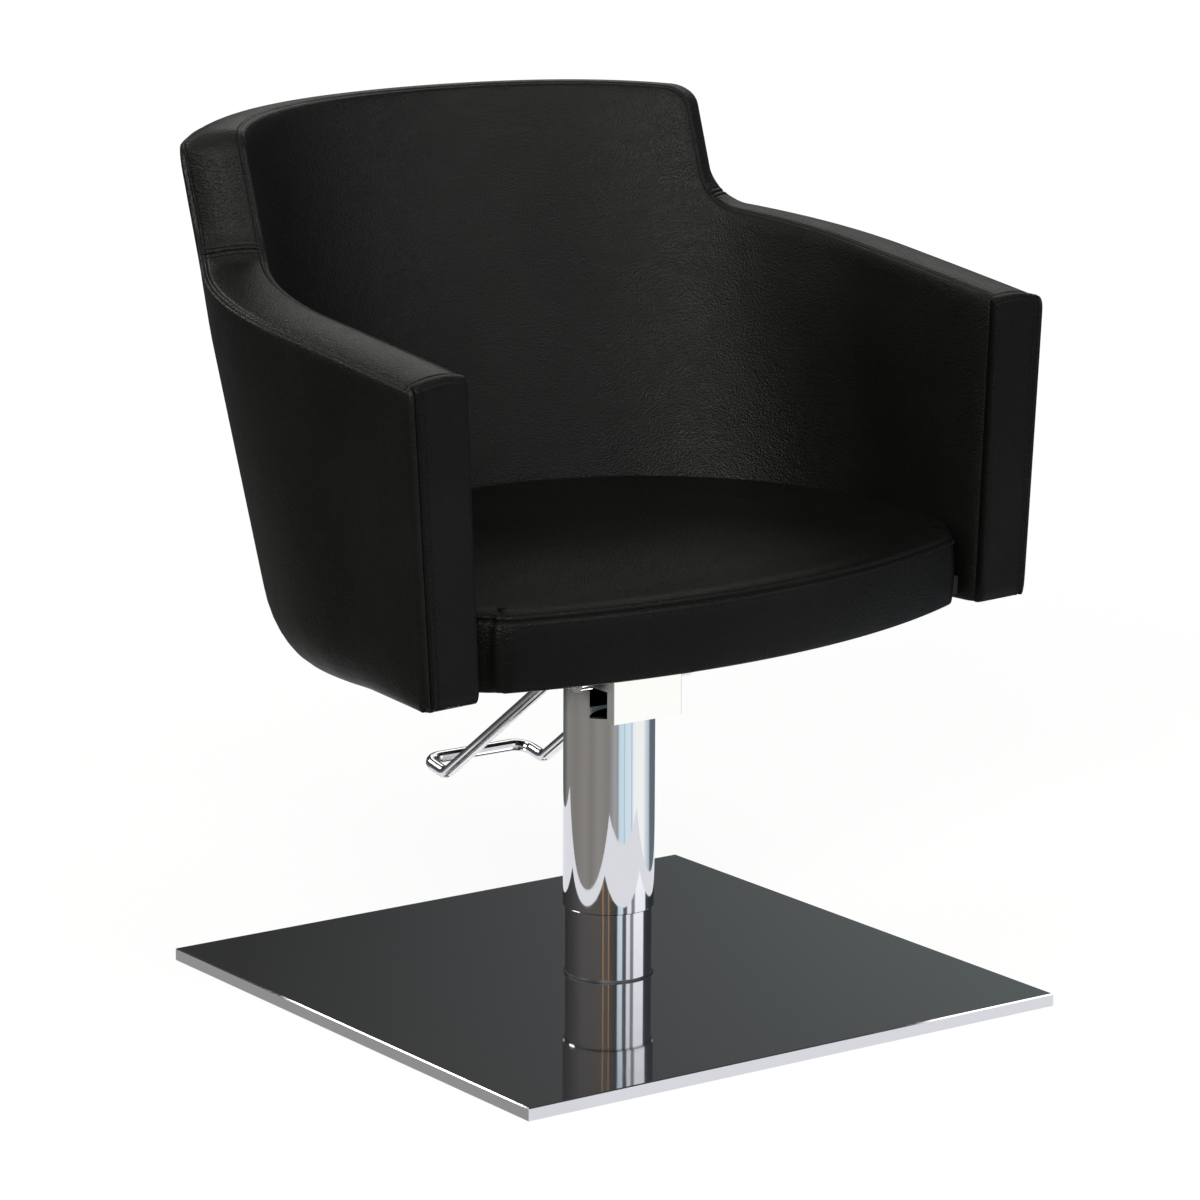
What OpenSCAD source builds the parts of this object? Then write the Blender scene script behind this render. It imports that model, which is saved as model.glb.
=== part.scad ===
// Hairdressing chair: an upholstered tub seat on a hydraulic column with a square base.
// Millimetres, +Z up. The origin is on the floor, on the axis of the column.
// The seat faces -Y. The base, the column head and the foot lever are turned under it.

/* [Base] */
// Side of the square base
base_side = 550; // [440:1:620]
// Height of the top of the base above the floor
base_h = 11.5; // [10:0.5:20]
// Sheet of the polished base cover
cover_sheet = 1.2; // [0.8:0.1:2]
// Bevel along the upper edge of the base cover
cover_bevel = 0.9; // [0.5:0.1:1.1]
// Thickness of the rubber sheet under the base
mat_t = 1; // [0.5:0.1:2]
// Distance of the rubber sheet from the edge of the base
mat_inset = 14; // [5:1:40]
// Height of the lower edge of the cover above the floor
cover_lift = 0.6; // [0.3:0.1:1]

/* [Column] */
// Diameter of the fixed guide tube
guide_d = 75.7; // [74:0.1:90]
// Wall of the guide tube
guide_wall = 3.25; // [2:0.05:3.4]
// Wall of the moving sleeve
sleeve_wall = 1.65; // [1:0.05:3]
// Radial gap between the sleeve and the guide tube
sleeve_gap = 0.35; // [0.2:0.05:0.8]
// Height of the lower rim of the sleeve, seat lowered
sleeve_bottom = 72.5; // [40:0.5:85]
// Height of the upper rim of the sleeve, seat lowered
sleeve_top = 247.5; // [235:0.5:300]
// Lift of the seat
lift_travel = 150; // [90:1:160]
// Diameter of the hydraulic cylinder
cylinder_d = 60; // [54:1:66]
// Bore of the hydraulic cylinder
bore_d = 50; // [42:1:50]
// Diameter of the ram
ram_d = 35; // [28:1:38]
// Radial clearance of sliding and seated round parts
fit_gap = 0.05; // [0.02:0.01:0.1]
// Thickness of the foot flange of the cylinder
foot_t = 9.6; // [8:0.1:14]
// Thickness of the wiper seal
wiper_t = 3.2; // [2:0.1:4]
// Gap under the piston and over the wiper seal, seat lowered
stop_gap = 1.6; // [1:0.1:3]
// Spigot of the gland inside the cylinder
gland_spigot = 14; // [8:1:18]

/* [Column head] */
// Height of the column head above the sleeve
head_h = 48.5; // [44:0.5:60]
// Depth of the spigot of the column head in the sleeve
head_spigot = 3.2; // [2.5:0.1:5]
// Distance of the flat of the head in front of the axis
head_flat = 19.5; // [18:0.5:24]
// Diameter of the spindle that the seat swivels on
spindle_d = 24; // [18:1:30]
// Height of the spindle above the head
spindle_len = 27; // [22:0.5:34]
// Width of the front housing
housing_w = 72.4; // [60:0.1:79]
// Distance of the front face of the housing from the axis
housing_front = 56.6; // [52:0.1:64]
// Thickness of the front wall of the housing
housing_wall = 10; // [6:0.5:11]
// Thickness of a cheek of the housing
cheek_t = 9; // [6:0.5:12]
// Height of the cheeks
cheek_h = 24; // [21:0.5:26]
// Height of the lower edge of the housing above the sleeve
housing_lift = 1.3; // [0.8:0.1:3]
// Corner radius of the front wall of the housing
housing_round = 1.2; // [0.5:0.1:2]
// Thickness of the bronze thrust washer
washer_t = 4; // [3:0.5:6]

/* [Foot lever] */
// Diameter of the bent lever rod
rod_d = 11; // [9:0.5:13]
// Distance of the arms of the lever from the middle
arm_x = 53; // [50:0.5:60]
// Distance of the lever shaft in front of the axis
shaft_front = 33; // [31:0.5:35]
// Depth of the lever shaft below the top of the housing
shaft_drop = 13.5; // [12:0.5:15]
// Diameter of the lever shaft
shaft_d = 10; // [8:0.5:12]
// Distance of the pedal bar behind the axis
pedal_back = 208; // [180:1:240]
// Height of the pedal bar above the floor, seat lowered
pedal_z = 166; // [150:1:185]
// Length of the flat end of the lever behind its lowest bend
pedal_reach = 33; // [30:1:45]
// Depth of the lowest bend below the pedal bar
pedal_dip = 6; // [2:0.5:10]
// Centre-line radius of the bends of the rod
bend_r = 15; // [12:0.5:18]
// Distance behind the axis where the arms start to fall
arm_knee = 0; // [-4:0.5:6]
// Lever travel in degrees
pedal_turn = 18; // [10:1:18]

/* [Pump plunger] */
// Distance of the plunger in front of the axis
plunger_front = 14; // [13:0.5:14.5]
// Diameter of the plunger
plunger_d = 6; // [5:0.5:7]
// Diameter of the plunger head
plunger_cap_d = 13; // [12:0.5:14]
// Wire of the plunger spring
wire_d = 1.2; // [0.8:0.1:1.4]
// Radius of the cam finger tip
finger_r = 4; // [3:0.5:4.5]

/* [Shell] */
// Height of the lower edge of the shell
shell_bottom = 327; // [322:1:340]
// Height of the arm tops at the front
arm_top = 594.8; // [585:0.2:605]
// Rise of the arm tops towards the back, in degrees
arm_rise = 9.2; // [5:0.1:12]
// Height of the middle of the back
back_top = 755; // [720:1:790]
// Distance of the front of the shell from the axis
shell_front = 158; // [145:1:175]
// Half width between the arms at the bottom
half_in_low = 285; // [270:1:300]
// Lean of each arm outwards, between its bottom and its top
arm_flare = 12; // [4:0.5:20]
// Thickness of the arms at the bottom
wall_low = 57; // [48:1:64]
// Thickness of the arms at the top
wall_top = 62; // [52:1:70]
// Depth of the curve of the back, inside
back_depth_in = 248; // [238:1:265]
// Thickness of the back in its middle
back_wall = 50; // [40:1:60]
// Distance behind the axis where the back starts to curve, at the top of the back
back_start = 42; // [30:1:60]
// Recline of the back, in degrees
recline = 14.5; // [10:0.5:17]
// Developed distance from the front of the shell to the step of the rim
step_at = 321.5; // [312:0.5:330]
// Radius of the rim where the arm runs into the back
step_r = 34; // [26:1:45]
// Lean of the rim above the step, in degrees
step_lean = 3.1; // [0:0.1:6]
// Radius of the upper corner of the back
corner_r = 20; // [15:1:30]
// Fall of the rim from its inner to its outer edge, on the arms
rim_fall_arm = 5; // [2:0.5:9]
// Fall of the rim from its inner to its outer edge, on the back
rim_fall_back = 10.5; // [5:0.5:14]
// Depth that the outer panel is drawn in along its lower edge
hem_in = 24; // [8:1:28]
// Height over which the outer panel is drawn in
hem_h = 46; // [25:1:60]
// Depth of the pull of a panel at its seams
seam_pull = 3; // [1:0.5:5]
// Width of the pull of a panel at its seams
seam_pull_w = 26; // [12:1:40]
// Gap between the layers of the shell
layer_gap = 0.4; // [0.3:0.1:0.8]
// Thickness of the rim strips at their edges
rim_edge = 1.6; // [1:0.1:3]
// Crown of the rim strips
rim_crown = 4; // [2:0.5:7]
// Thickness of the arm facings at their edges
facing_edge = 6.5; // [4:0.5:9]
// Crown of the arm facings
facing_crown = 3; // [1:0.5:5]

/* [Seat] */
// Height of the front edge of the seat cushion
seat_front_z = 390; // [375:1:420]
// Height of the lower edge of the front of the seat cushion
seat_low_z = 329; // [329:1:336]
// Distance of the front corners of the seat cushion from the insides of the arms
seat_front_inset = 23; // [12:0.5:32]
// Distance of the front corners of the seat cushion from the axis
seat_corner_front = 160; // [150:1:175]
// Bow of the front of the seat cushion
seat_bow = 52; // [30:1:65]
// Radius of the front corners of the seat cushion
seat_corner_r = 9; // [6:1:14]
// Rise of the seat edge towards the back, in degrees
seat_slope = 3; // [1:0.5:4]
// Crown of the seat cushion
seat_crown = 15; // [8:1:24]
// Gap between the seat cushion and the inner pad
seat_gap = 1.6; // [0.8:0.1:4]
// Thickness of the plywood seat board
board_t = 16; // [12:1:20]
// Height of the underside of the seat board
board_z = 331; // [331:1:334]
// Distance of the front edge of the seat board from the axis
board_front = 138; // [120:1:145]
// Thickness of the bracket plate
plate_t = 6; // [4:0.5:7]
// Half distance of the bracket bolts across the seat
bolt_x = 85; // [70:1:100]
// Half distance of the bracket bolts along the seat
bolt_y = 62; // [50:1:70]
// Diameter of the bolts of the bracket and of the shell
bolt_d = 8; // [6:0.5:10]

/* [Hidden] */

$fn = 64;
// Overrun of cuts past the faces that they leave
over = 1;
// Turn of the base and the column head under the seat
base_turn = -6;
// Gap between pieces that lie against each other
seat_clear = 0.3;

// Column, worked out from the named sizes
core_top = base_h - cover_sheet;
guide_r = guide_d / 2;
guide_in = guide_r - guide_wall;
sleeve_in = guide_r + sleeve_gap;
sleeve_r = sleeve_in + sleeve_wall;
foot_r = guide_in - seat_clear;
foot_top = core_top + foot_t;
cylinder_r = cylinder_d / 2;
bore_r = bore_d / 2;
ram_r = ram_d / 2;
tenon_r = ram_r * 0.55;
tenon_len = tenon_r * 1.2;
stud_r = ram_r * 0.5;
head_bottom = sleeve_top - head_spigot;
head_top = sleeve_top + head_h;
wiper_top = head_bottom - stop_gap;
gland_top = wiper_top - wiper_t;
gland_flange = gland_spigot * 0.6;
cylinder_top = gland_top - gland_flange;
piston_bottom = foot_top + stop_gap;
// The piston fills the bore up to the gland less the travel, so the gland stops the lift
piston_top = cylinder_top - gland_spigot - lift_travel;
piston_len = piston_top - piston_bottom;
seal_h = (bore_r - ram_r) * 0.8;
seal_t = seal_h * 0.55;
screw_d = 8;
screw_circle = foot_r * 0.76;
screw_grip = foot_t * 0.65;

// Column head, housing and lever
housing_z = sleeve_top + housing_lift;
housing_h = head_top + washer_t - housing_z;
housing_top_z = head_top + washer_t;
shaft_r = shaft_d / 2;
shaft_z = housing_top_z - shaft_drop;
eye_r = rod_d * 0.95;
cam_r = shaft_r * 1.75;
cam_w = cam_r * 1.5;
finger_reach = shaft_front - plunger_front;
finger_z = shaft_z - cam_r + finger_r * 0.9;
plunger_top = finger_z - finger_r - seat_clear;
plunger_travel = finger_reach * sin(pedal_turn);
cap_h = finger_r;
slot_half = cam_w * 0.68;
slot_top = shaft_z + cam_r * 0.75;
slot_bottom = plunger_top - cap_h - plunger_travel * 2.2;
plunger_r = plunger_d / 2;
plunger_bottom = slot_bottom - plunger_d;
plunger_bore_bottom = plunger_bottom - plunger_travel - seat_clear;
slot_back = plunger_front - plunger_cap_d / 2 - seat_clear * 3;
spindle_r = spindle_d / 2;
washer_r = spindle_r * 1.8;
hub_bottom = housing_top_z + fit_gap;
plate_z = board_z - plate_t;
ring_z = head_top + spindle_len - spindle_r * 0.35;
ring_t = spindle_r * 0.12;
housing_screw_d = 6;
housing_screw_x = housing_w * 0.35;
housing_screw_front = head_flat * 0.75;

// Shell, worked out from the named sizes
front_y = -shell_front;
lean = tan(recline);
half_in_top = half_in_low + arm_flare;
half_out_low = half_in_low + wall_low;
half_out_top = half_in_top + wall_top;
back_depth_out = back_depth_in + back_wall;
in_lean = arm_flare / (arm_top - shell_bottom);
out_lean = (half_out_top - half_out_low) / (arm_top - shell_bottom);
arm_len = shell_front + back_start - lean * (back_top - arm_top);
back_len = 0.785 * (half_in_top + back_depth_in);
path_len = arm_len + back_len;
// Shares of the shell thickness where the pad, the frame and the panel begin and end
pad_share = 0.42;
panel_share = 0.72;
layer_share = 0.01;

function mix(a, b, t) = a + (b - a) * t;
// Distance behind the axis where the back starts to curve, at height z
function curve_y(z) = back_start - lean * (back_top - z);
// Plan point of the shell: s along it, height z, w from 0 inside to 1 outside,
// drawn in by d towards the middle of its thickness
function shell_pt(s, z, w, d = 0) =
    let(side = w < 0.5 ? -d : d,
        hem = hem_cut(z) * min(1, s / arm_len),
        a_in = half_in_low + in_lean * (z - shell_bottom),
        a_out = half_out_low + out_lean * (z - shell_bottom) - hem,
        a = mix(a_in, a_out, w) - side,
        b = mix(back_depth_in, back_depth_out - hem, w) - side,
        y0 = curve_y(z))
    s <= arm_len
        ? [a, mix(front_y, y0, s / arm_len), z]
        : let(q = 90 * (s - arm_len) / back_len) [a * cos(q), y0 + b * sin(q), z];
// Depth that the hem of the outer panel is drawn in at height z
function hem_cut(z) =
    let(h = (z - shell_bottom) / hem_h)
    h >= 1 ? 0 : hem_in * (1 - sqrt(1 - (1 - max(h, 0)) * (1 - max(h, 0))));
// Pull of a panel at distance d from its seam
function pull(d) = d >= seam_pull_w ? 0 : seam_pull * pow(1 - d / seam_pull_w, 2);

// The rim on the developed shell: points [s, z] from the arm front to the middle of the back
rise = tan(arm_rise);
step_end = 90 - step_lean;
arm_end = step_at - step_r * (sin(step_end) - sin(arm_rise));
arm_end_z = arm_top + rise * arm_end;
crown_drop = corner_r * 0.25;
corner_mid_z = back_top - corner_r - crown_drop;
ARM_STEPS = 10;
TURN_STEPS = 5;
SIDE_STEPS = 2;
TOP_STEPS = 9;
arm_rim = [for (i = [0 : ARM_STEPS]) let(s = arm_end * i / ARM_STEPS) [s, arm_top + rise * s]];
turn_rim = [for (i = [1 : TURN_STEPS])
    let(f = mix(arm_rise, step_end, i / TURN_STEPS))
    [arm_end + step_r * (sin(f) - sin(arm_rise)), arm_end_z + step_r * (cos(arm_rise) - cos(f))]];
side_low = turn_rim[TURN_STEPS - 1];
side_top_z = corner_mid_z + corner_r * cos(step_end);
side_top = [side_low[0] + tan(step_lean) * (side_top_z - side_low[1]), side_top_z];
corner_mid_s = side_top[0] + corner_r * sin(step_end);
side_rim = [for (i = [1 : SIDE_STEPS]) mix(side_low, side_top, i / SIDE_STEPS)];
corner_rim = [for (i = [1 : TURN_STEPS]) let(f = mix(step_end, 0, i / TURN_STEPS))
    [corner_mid_s - corner_r * sin(f), corner_mid_z + corner_r * cos(f)]];
top_rim = [for (i = [1 : TOP_STEPS]) let(k = i / TOP_STEPS)
    [mix(corner_mid_s, path_len, k), back_top - crown_drop * pow(1 - k, 4)]];
RIM = concat(arm_rim, turn_rim, side_rim, corner_rim, top_rim);
RIM_LAST = len(RIM) - 1;
// Place of the seam between the back strip and the arm strips, in rim points
back_seam_share = 0.56;
BACK_SEAM = ARM_STEPS + back_seam_share * TURN_STEPS;
// Rim point at place x, which may lie between two points
function rim_point(x) =
    let(i = min(floor(x), RIM_LAST - 1))
    mix(RIM[i], RIM[i + 1], x - i);

// Unit normal of the rim on the developed shell, pointing into the panel
function rim_normal(i) =
    let(a = rim_point(max(i - 1, 0)), b = rim_point(min(i + 1, RIM_LAST)), d = b - a, n = norm(d))
    [d[1] / n, -d[0] / n];
function rim_fall(i) =
    mix(rim_fall_arm, rim_fall_back, min(1, max(0, (i - ARM_STEPS) / TURN_STEPS)));
// Rim point i at share w of the thickness, on the developed shell
function rim_sz(i, w) =
    let(p = rim_point(i) + rim_normal(i) * rim_fall(i) * w)
    [i == RIM_LAST ? path_len : max(0, p[0]), p[1]];
// Place along the shell where the line that starts at rim point i reaches the bottom: straight down
// from the arm, then fanned out under the step and the upper corner
CORNER_END = ARM_STEPS + 2 * TURN_STEPS + SIDE_STEPS;
foot_corner = mix(corner_mid_s, path_len, 0.3);
function foot_s(i) = i <= ARM_STEPS ? RIM[i][0]
    : i <= CORNER_END ? mix(arm_end, foot_corner, (i - ARM_STEPS) / (CORNER_END - ARM_STEPS))
    : mix(foot_corner, path_len, (i - CORNER_END) / (RIM_LAST - CORNER_END));

// One column of the shell: heights from the rim to the bottom
near_shares = [0, 0.22, 0.5, 1];
mid_shares = [0.33, 0.67];
low_shares = [1, 0.45, 0.15, 0];
function rows(top) =
    let(h = top[1] - shell_bottom,
        mid_top = top[1] - seam_pull_w, mid_low = shell_bottom + hem_h)
    concat(
        [for (k = near_shares) [top[1] - k * seam_pull_w, k * seam_pull_w]],
        [for (m = mid_shares) let(z = mix(mid_top, mid_low, m)) [z, top[1] - z]],
        [for (k = low_shares) [shell_bottom + k * hem_h, h - k * hem_h]]);
function column(i, w, side) =
    let(top = rim_sz(i, w == 0 ? seam_pull / back_wall : w), s1 = foot_s(i), h = top[1] - shell_bottom)
    [for (r = rows(top))
        let(s = mix(top[0], s1, r[1] / h),
            p = shell_pt(s, r[0], w, w == 0 || w == 1 ? pull(min(r[1], s)) : 0))
        [side * p[0], p[1], p[2]]];
// The columns of both halves, from the left arm front round to the right arm front
both_halves = concat(
    [for (i = [0 : RIM_LAST]) [i, -1]],
    [for (i = [1 : RIM_LAST]) [RIM_LAST - i, 1]]);
function flip(v) = [for (i = [1 : len(v)]) v[len(v) - i]];

// Solid through rings of equal length, closed at both ends by strips across each ring. The second
// half of a ring runs back beside the first, and both are split along the same diagonals, so that
// layers that lie against each other keep their gap
module loft(rings) {
    n = len(rings[0]);
    m = len(rings);
    pts = [for (r = rings) each r];
    walls = [for (i = [0 : m - 2], j = [0 : n - 1])
        let(a = i * n + j, b = i * n + (j + 1) % n, c = b + n, d = a + n)
        each j < n / 2 ? [[a, b, c], [a, c, d]] : [[a, b, d], [b, c, d]]];
    first = [for (j = [0 : n / 2 - 2]) each [[j, n - 1 - j, n - 2 - j], [j, n - 2 - j, j + 1]]];
    e = (m - 1) * n;
    last = [for (j = [0 : n / 2 - 2])
        each [[e + j, e + n - 2 - j, e + n - 1 - j], [e + j, e + j + 1, e + n - 2 - j]]];
    polyhedron(points = pts, faces = concat(walls, first, last), convexity = 6);
}

module layer(w0, w1) {
    loft([for (c = both_halves)
        let(a = column(c[0], w0, c[1]), b = column(c[0], w1, c[1]))
        concat(b, flip(a))]);
}

module on_base() {
    rotate([0, 0, base_turn]) children();
}

module tube(r_out, r_in, z0, z1) {
    translate([0, 0, z0]) difference() {
        cylinder(r = r_out, h = z1 - z0);
        translate([0, 0, -over]) cylinder(r = r_in, h = z1 - z0 + 2 * over);
    }
}

module round_plate(x, y, r) {
    square([x - 2 * r, y], center = true);
    square([x, y - 2 * r], center = true);
    for (i = [-1, 1], j = [-1, 1]) translate([i * (x / 2 - r), j * (y / 2 - r)]) circle(r = r);
}

// Base

module base_mat() {
    color("dimgray") on_base() linear_extrude(mat_t) difference() {
        round_plate(base_side - 2 * mat_inset, base_side - 2 * mat_inset, mat_inset);
        foot_screw_places() circle(d = screw_d * 2.2);
    }
}

module foot_screw_places() {
    for (i = [0 : 5]) rotate(60 * i) translate([screw_circle, 0]) children();
}

module base_core() {
    side = base_side - 2 * cover_sheet - 2 * seat_clear;
    color("gray") on_base() difference() {
        translate([-side / 2, -side / 2, mat_t]) cube([side, side, core_top - mat_t]);
        foot_screw_places() {
            cylinder(d = screw_d + fit_gap * 4, h = base_h);
            translate([0, 0, mat_t - over]) cylinder(d = screw_d * 2, h = screw_d / 2 + over);
        }
    }
}

module base_cover() {
    inner = base_side - 2 * cover_sheet;
    color("lightgray") on_base() difference() {
        hull() {
            translate([-base_side / 2, -base_side / 2, cover_lift])
                cube([base_side, base_side, base_h - cover_bevel - cover_lift]);
            translate([-base_side / 2 + cover_bevel, -base_side / 2 + cover_bevel, cover_lift])
                cube([base_side - 2 * cover_bevel, base_side - 2 * cover_bevel, base_h - cover_lift]);
        }
        translate([-inner / 2, -inner / 2, -over]) cube([inner, inner, core_top + over]);
        cylinder(r = foot_r + seat_clear, h = base_h + over);
    }
}

module foot_screws() {
    color("dimgray") on_base() foot_screw_places() {
        translate([0, 0, mat_t]) cylinder(d = screw_d * 1.9, h = screw_d / 2);
        translate([0, 0, mat_t]) cylinder(d = screw_d, h = core_top - mat_t + screw_grip);
    }
}

module cylinder_foot() {
    color("gray") on_base() difference() {
        translate([0, 0, core_top]) cylinder(r = foot_r, h = foot_top - core_top);
        foot_screw_places() translate([0, 0, core_top - over])
            cylinder(d = screw_d + fit_gap * 2, h = screw_grip + over + seat_clear);
    }
}

// Column

module pump_cylinder() {
    color("gray") tube(cylinder_r, bore_r, foot_top, cylinder_top);
}

module guide_tube() {
    color("silver") tube(guide_r, guide_in, base_h, wiper_top);
}

module cylinder_gland() {
    color("goldenrod") difference() {
        union() {
            translate([0, 0, cylinder_top]) cylinder(r = cylinder_r, h = gland_flange);
            translate([0, 0, cylinder_top - gland_spigot])
                cylinder(r = bore_r - fit_gap, h = gland_spigot + over);
        }
        translate([0, 0, cylinder_top - gland_spigot - over])
            cylinder(r = ram_r + fit_gap, h = gland_spigot + gland_flange + 2 * over);
    }
}

module wiper_seal() {
    color("black") tube(bore_r * 0.96, ram_r + fit_gap, gland_top, gland_top + wiper_t);
}

module ram() {
    color("silver") {
        translate([0, 0, piston_top]) cylinder(r = ram_r, h = head_bottom - piston_top);
        translate([0, 0, piston_bottom]) cylinder(r = stud_r, h = piston_len + over);
        translate([0, 0, head_bottom - over]) cylinder(r = tenon_r, h = tenon_len + over);
    }
}

module piston() {
    color("gray") difference() {
        translate([0, 0, piston_bottom]) cylinder(r = bore_r - fit_gap, h = piston_len);
        translate([0, 0, piston_bottom - over]) cylinder(r = stud_r + fit_gap, h = piston_len + 2 * over);
        tube(bore_r + over, bore_r - seal_t, piston_bottom + piston_len / 2 - seal_h / 2,
            piston_bottom + piston_len / 2 + seal_h / 2);
    }
}

module piston_seal() {
    mid = piston_bottom + piston_len / 2;
    color("black") tube(bore_r - fit_gap, bore_r - seal_t + fit_gap,
        mid - seal_h / 2 + fit_gap, mid + seal_h / 2 - fit_gap);
}

module sleeve() {
    lip = sleeve_wall * 1.5;
    color("silver") rotate_extrude() polygon([
        [sleeve_in, sleeve_bottom], [sleeve_r - lip * 0.3, sleeve_bottom],
        [sleeve_r, sleeve_bottom + lip * 0.3], [sleeve_r, sleeve_top], [sleeve_in, sleeve_top]]);
}

// Column head: a disc in the sleeve, a block with a flat in front, and the swivel spindle
module pump_head() {
    color("silver") on_base() difference() {
        union() {
            translate([0, 0, head_bottom]) cylinder(r = sleeve_in - fit_gap, h = head_spigot + over);
            intersection() {
                translate([0, 0, sleeve_top]) cylinder(r = sleeve_r, h = head_h);
                translate([-sleeve_r, -head_flat, sleeve_top])
                    cube([2 * sleeve_r, head_flat + sleeve_r, head_h]);
            }
            translate([0, 0, head_top - over]) cylinder(r = spindle_r, h = spindle_len + over);
        }
        translate([0, 0, head_bottom - over])
            cylinder(r = tenon_r + fit_gap, h = tenon_len + over + seat_clear);
        translate([-slot_half, -head_flat - over, slot_bottom])
            cube([2 * slot_half, head_flat + over - slot_back, slot_top - slot_bottom]);
        translate([0, -plunger_front, plunger_bore_bottom])
            cylinder(r = plunger_r + fit_gap, h = slot_bottom - plunger_bore_bottom + over);
        tube(spindle_r + over, spindle_r - ring_t, ring_z - fit_gap, ring_z + ring_t + fit_gap);
        housing_screw_places() translate([0, 0, head_top - housing_screw_d * 2])
            cylinder(d = housing_screw_d + 2 * fit_gap, h = housing_screw_d * 2 + over);
    }
}

// Front housing: a thick front wall, two cheeks that carry the lever shaft, and a top plate
module front_housing() {
    rear = -head_flat * 0.5;
    wall_back = housing_front - housing_wall;
    color("silver") on_base() difference() {
        union() {
            translate([0, -housing_front + housing_wall / 2, housing_z]) linear_extrude(housing_h)
                round_plate(housing_w, housing_wall, housing_round);
            for (i = [-1, 1]) translate([i * (housing_w / 2 - cheek_t / 2) - cheek_t / 2,
                    -wall_back - over, housing_top_z - cheek_h])
                cube([cheek_t, wall_back + over - head_flat, cheek_h]);
            translate([-housing_w / 2, -wall_back - over, head_top])
                cube([housing_w, wall_back + over + rear, washer_t]);
        }
        translate([-housing_w, -shaft_front, shaft_z]) rotate([0, 90, 0])
            cylinder(r = shaft_r + fit_gap, h = 2 * housing_w);
        translate([0, 0, head_top - over]) cylinder(r = washer_r + seat_clear, h = washer_t + 2 * over);
        housing_screw_places() {
            translate([0, 0, head_top - over])
                cylinder(d = housing_screw_d + fit_gap * 4, h = washer_t + 2 * over);
            translate([0, 0, head_top + washer_t / 2])
                cylinder(d = housing_screw_d * 1.8 + fit_gap * 4, h = washer_t);
        }
    }
}

module housing_screw_places() {
    for (i = [-1, 1]) translate([i * housing_screw_x, -housing_screw_front, 0]) children();
}

module housing_screws() {
    color("dimgray") on_base() housing_screw_places() {
        translate([0, 0, head_top + washer_t / 2])
            cylinder(d = housing_screw_d * 1.8, h = washer_t / 2 - fit_gap);
        translate([0, 0, head_top - housing_screw_d * 1.8])
            cylinder(d = housing_screw_d, h = housing_screw_d * 1.8 + washer_t / 2 + fit_gap);
    }
}

module thrust_washer() {
    color("goldenrod") tube(washer_r, spindle_r + fit_gap, head_top, head_top + washer_t);
}

// Pump plunger, pressed down by the cam finger, and its spring

SPRING_TURNS = 4;
SPRING_RINGS = 8;
SPRING_SIDES = 6;
module plunger_spring() {
    coil_r = plunger_cap_d / 2 - wire_d;
    low = slot_bottom + wire_d / 2 + fit_gap;
    high = plunger_top - cap_h - wire_d / 2 - fit_gap;
    last = SPRING_TURNS * SPRING_RINGS;
    color("gray") on_base() translate([0, -plunger_front, 0])
        loft([for (i = [0 : last])
            let(a = 360 * i / SPRING_RINGS, z = mix(low, high, i / last))
            [for (k = [0 : SPRING_SIDES - 1])
                let(b = 360 * k / SPRING_SIDES, r = coil_r + wire_d / 2 * cos(b))
                [r * cos(a), r * sin(a), z + wire_d / 2 * sin(b)]]]);
}

module pump_plunger() {
    color("silver") on_base() translate([0, -plunger_front, 0]) {
        translate([0, 0, plunger_bottom])
            cylinder(r = plunger_r, h = plunger_top - plunger_bottom - cap_h / 2);
        translate([0, 0, plunger_top - cap_h]) cylinder(d = plunger_cap_d, h = cap_h);
    }
}

// Foot lever: one rod bent to a bow round the column, with an eye at each end

low_y = pedal_back - pedal_reach;
low_z = pedal_z - pedal_dip;
eye_w = rod_d * 1.1;
shaft_half = arm_x + eye_w / 2;
ROD_SIDES = 20;
BEND_STEPS = 6;
ACROSS = [1, 0, 0];
// Corners of the centre line of one half, from the eye to the middle of the pedal bar
LEVER_PATH = [
    [arm_x, eye_r * 0.8 - shaft_front, shaft_z],
    [arm_x, arm_knee, shaft_z],
    [arm_x, low_y, low_z],
    [arm_x, pedal_back, pedal_z],
    [0, pedal_back, pedal_z]
];
function unit(v) = v / norm(v);
// Points and directions of the round bend at corner p, between the legs to a and to b
function bend_steps(a, p, b) =
    let(u = unit(a - p), v = unit(b - p), half = acos(u * v) / 2, mid = unit(u + v),
        c = p + mid * (bend_r / sin(half)), fore = unit(v - u))
    [for (i = [0 : BEND_STEPS]) let(q = (180 - 2 * half) * (i / BEND_STEPS - 1 / 2))
        [c + bend_r * (fore * sin(q) - mid * cos(q)), fore * cos(q) + mid * sin(q)]];
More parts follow.
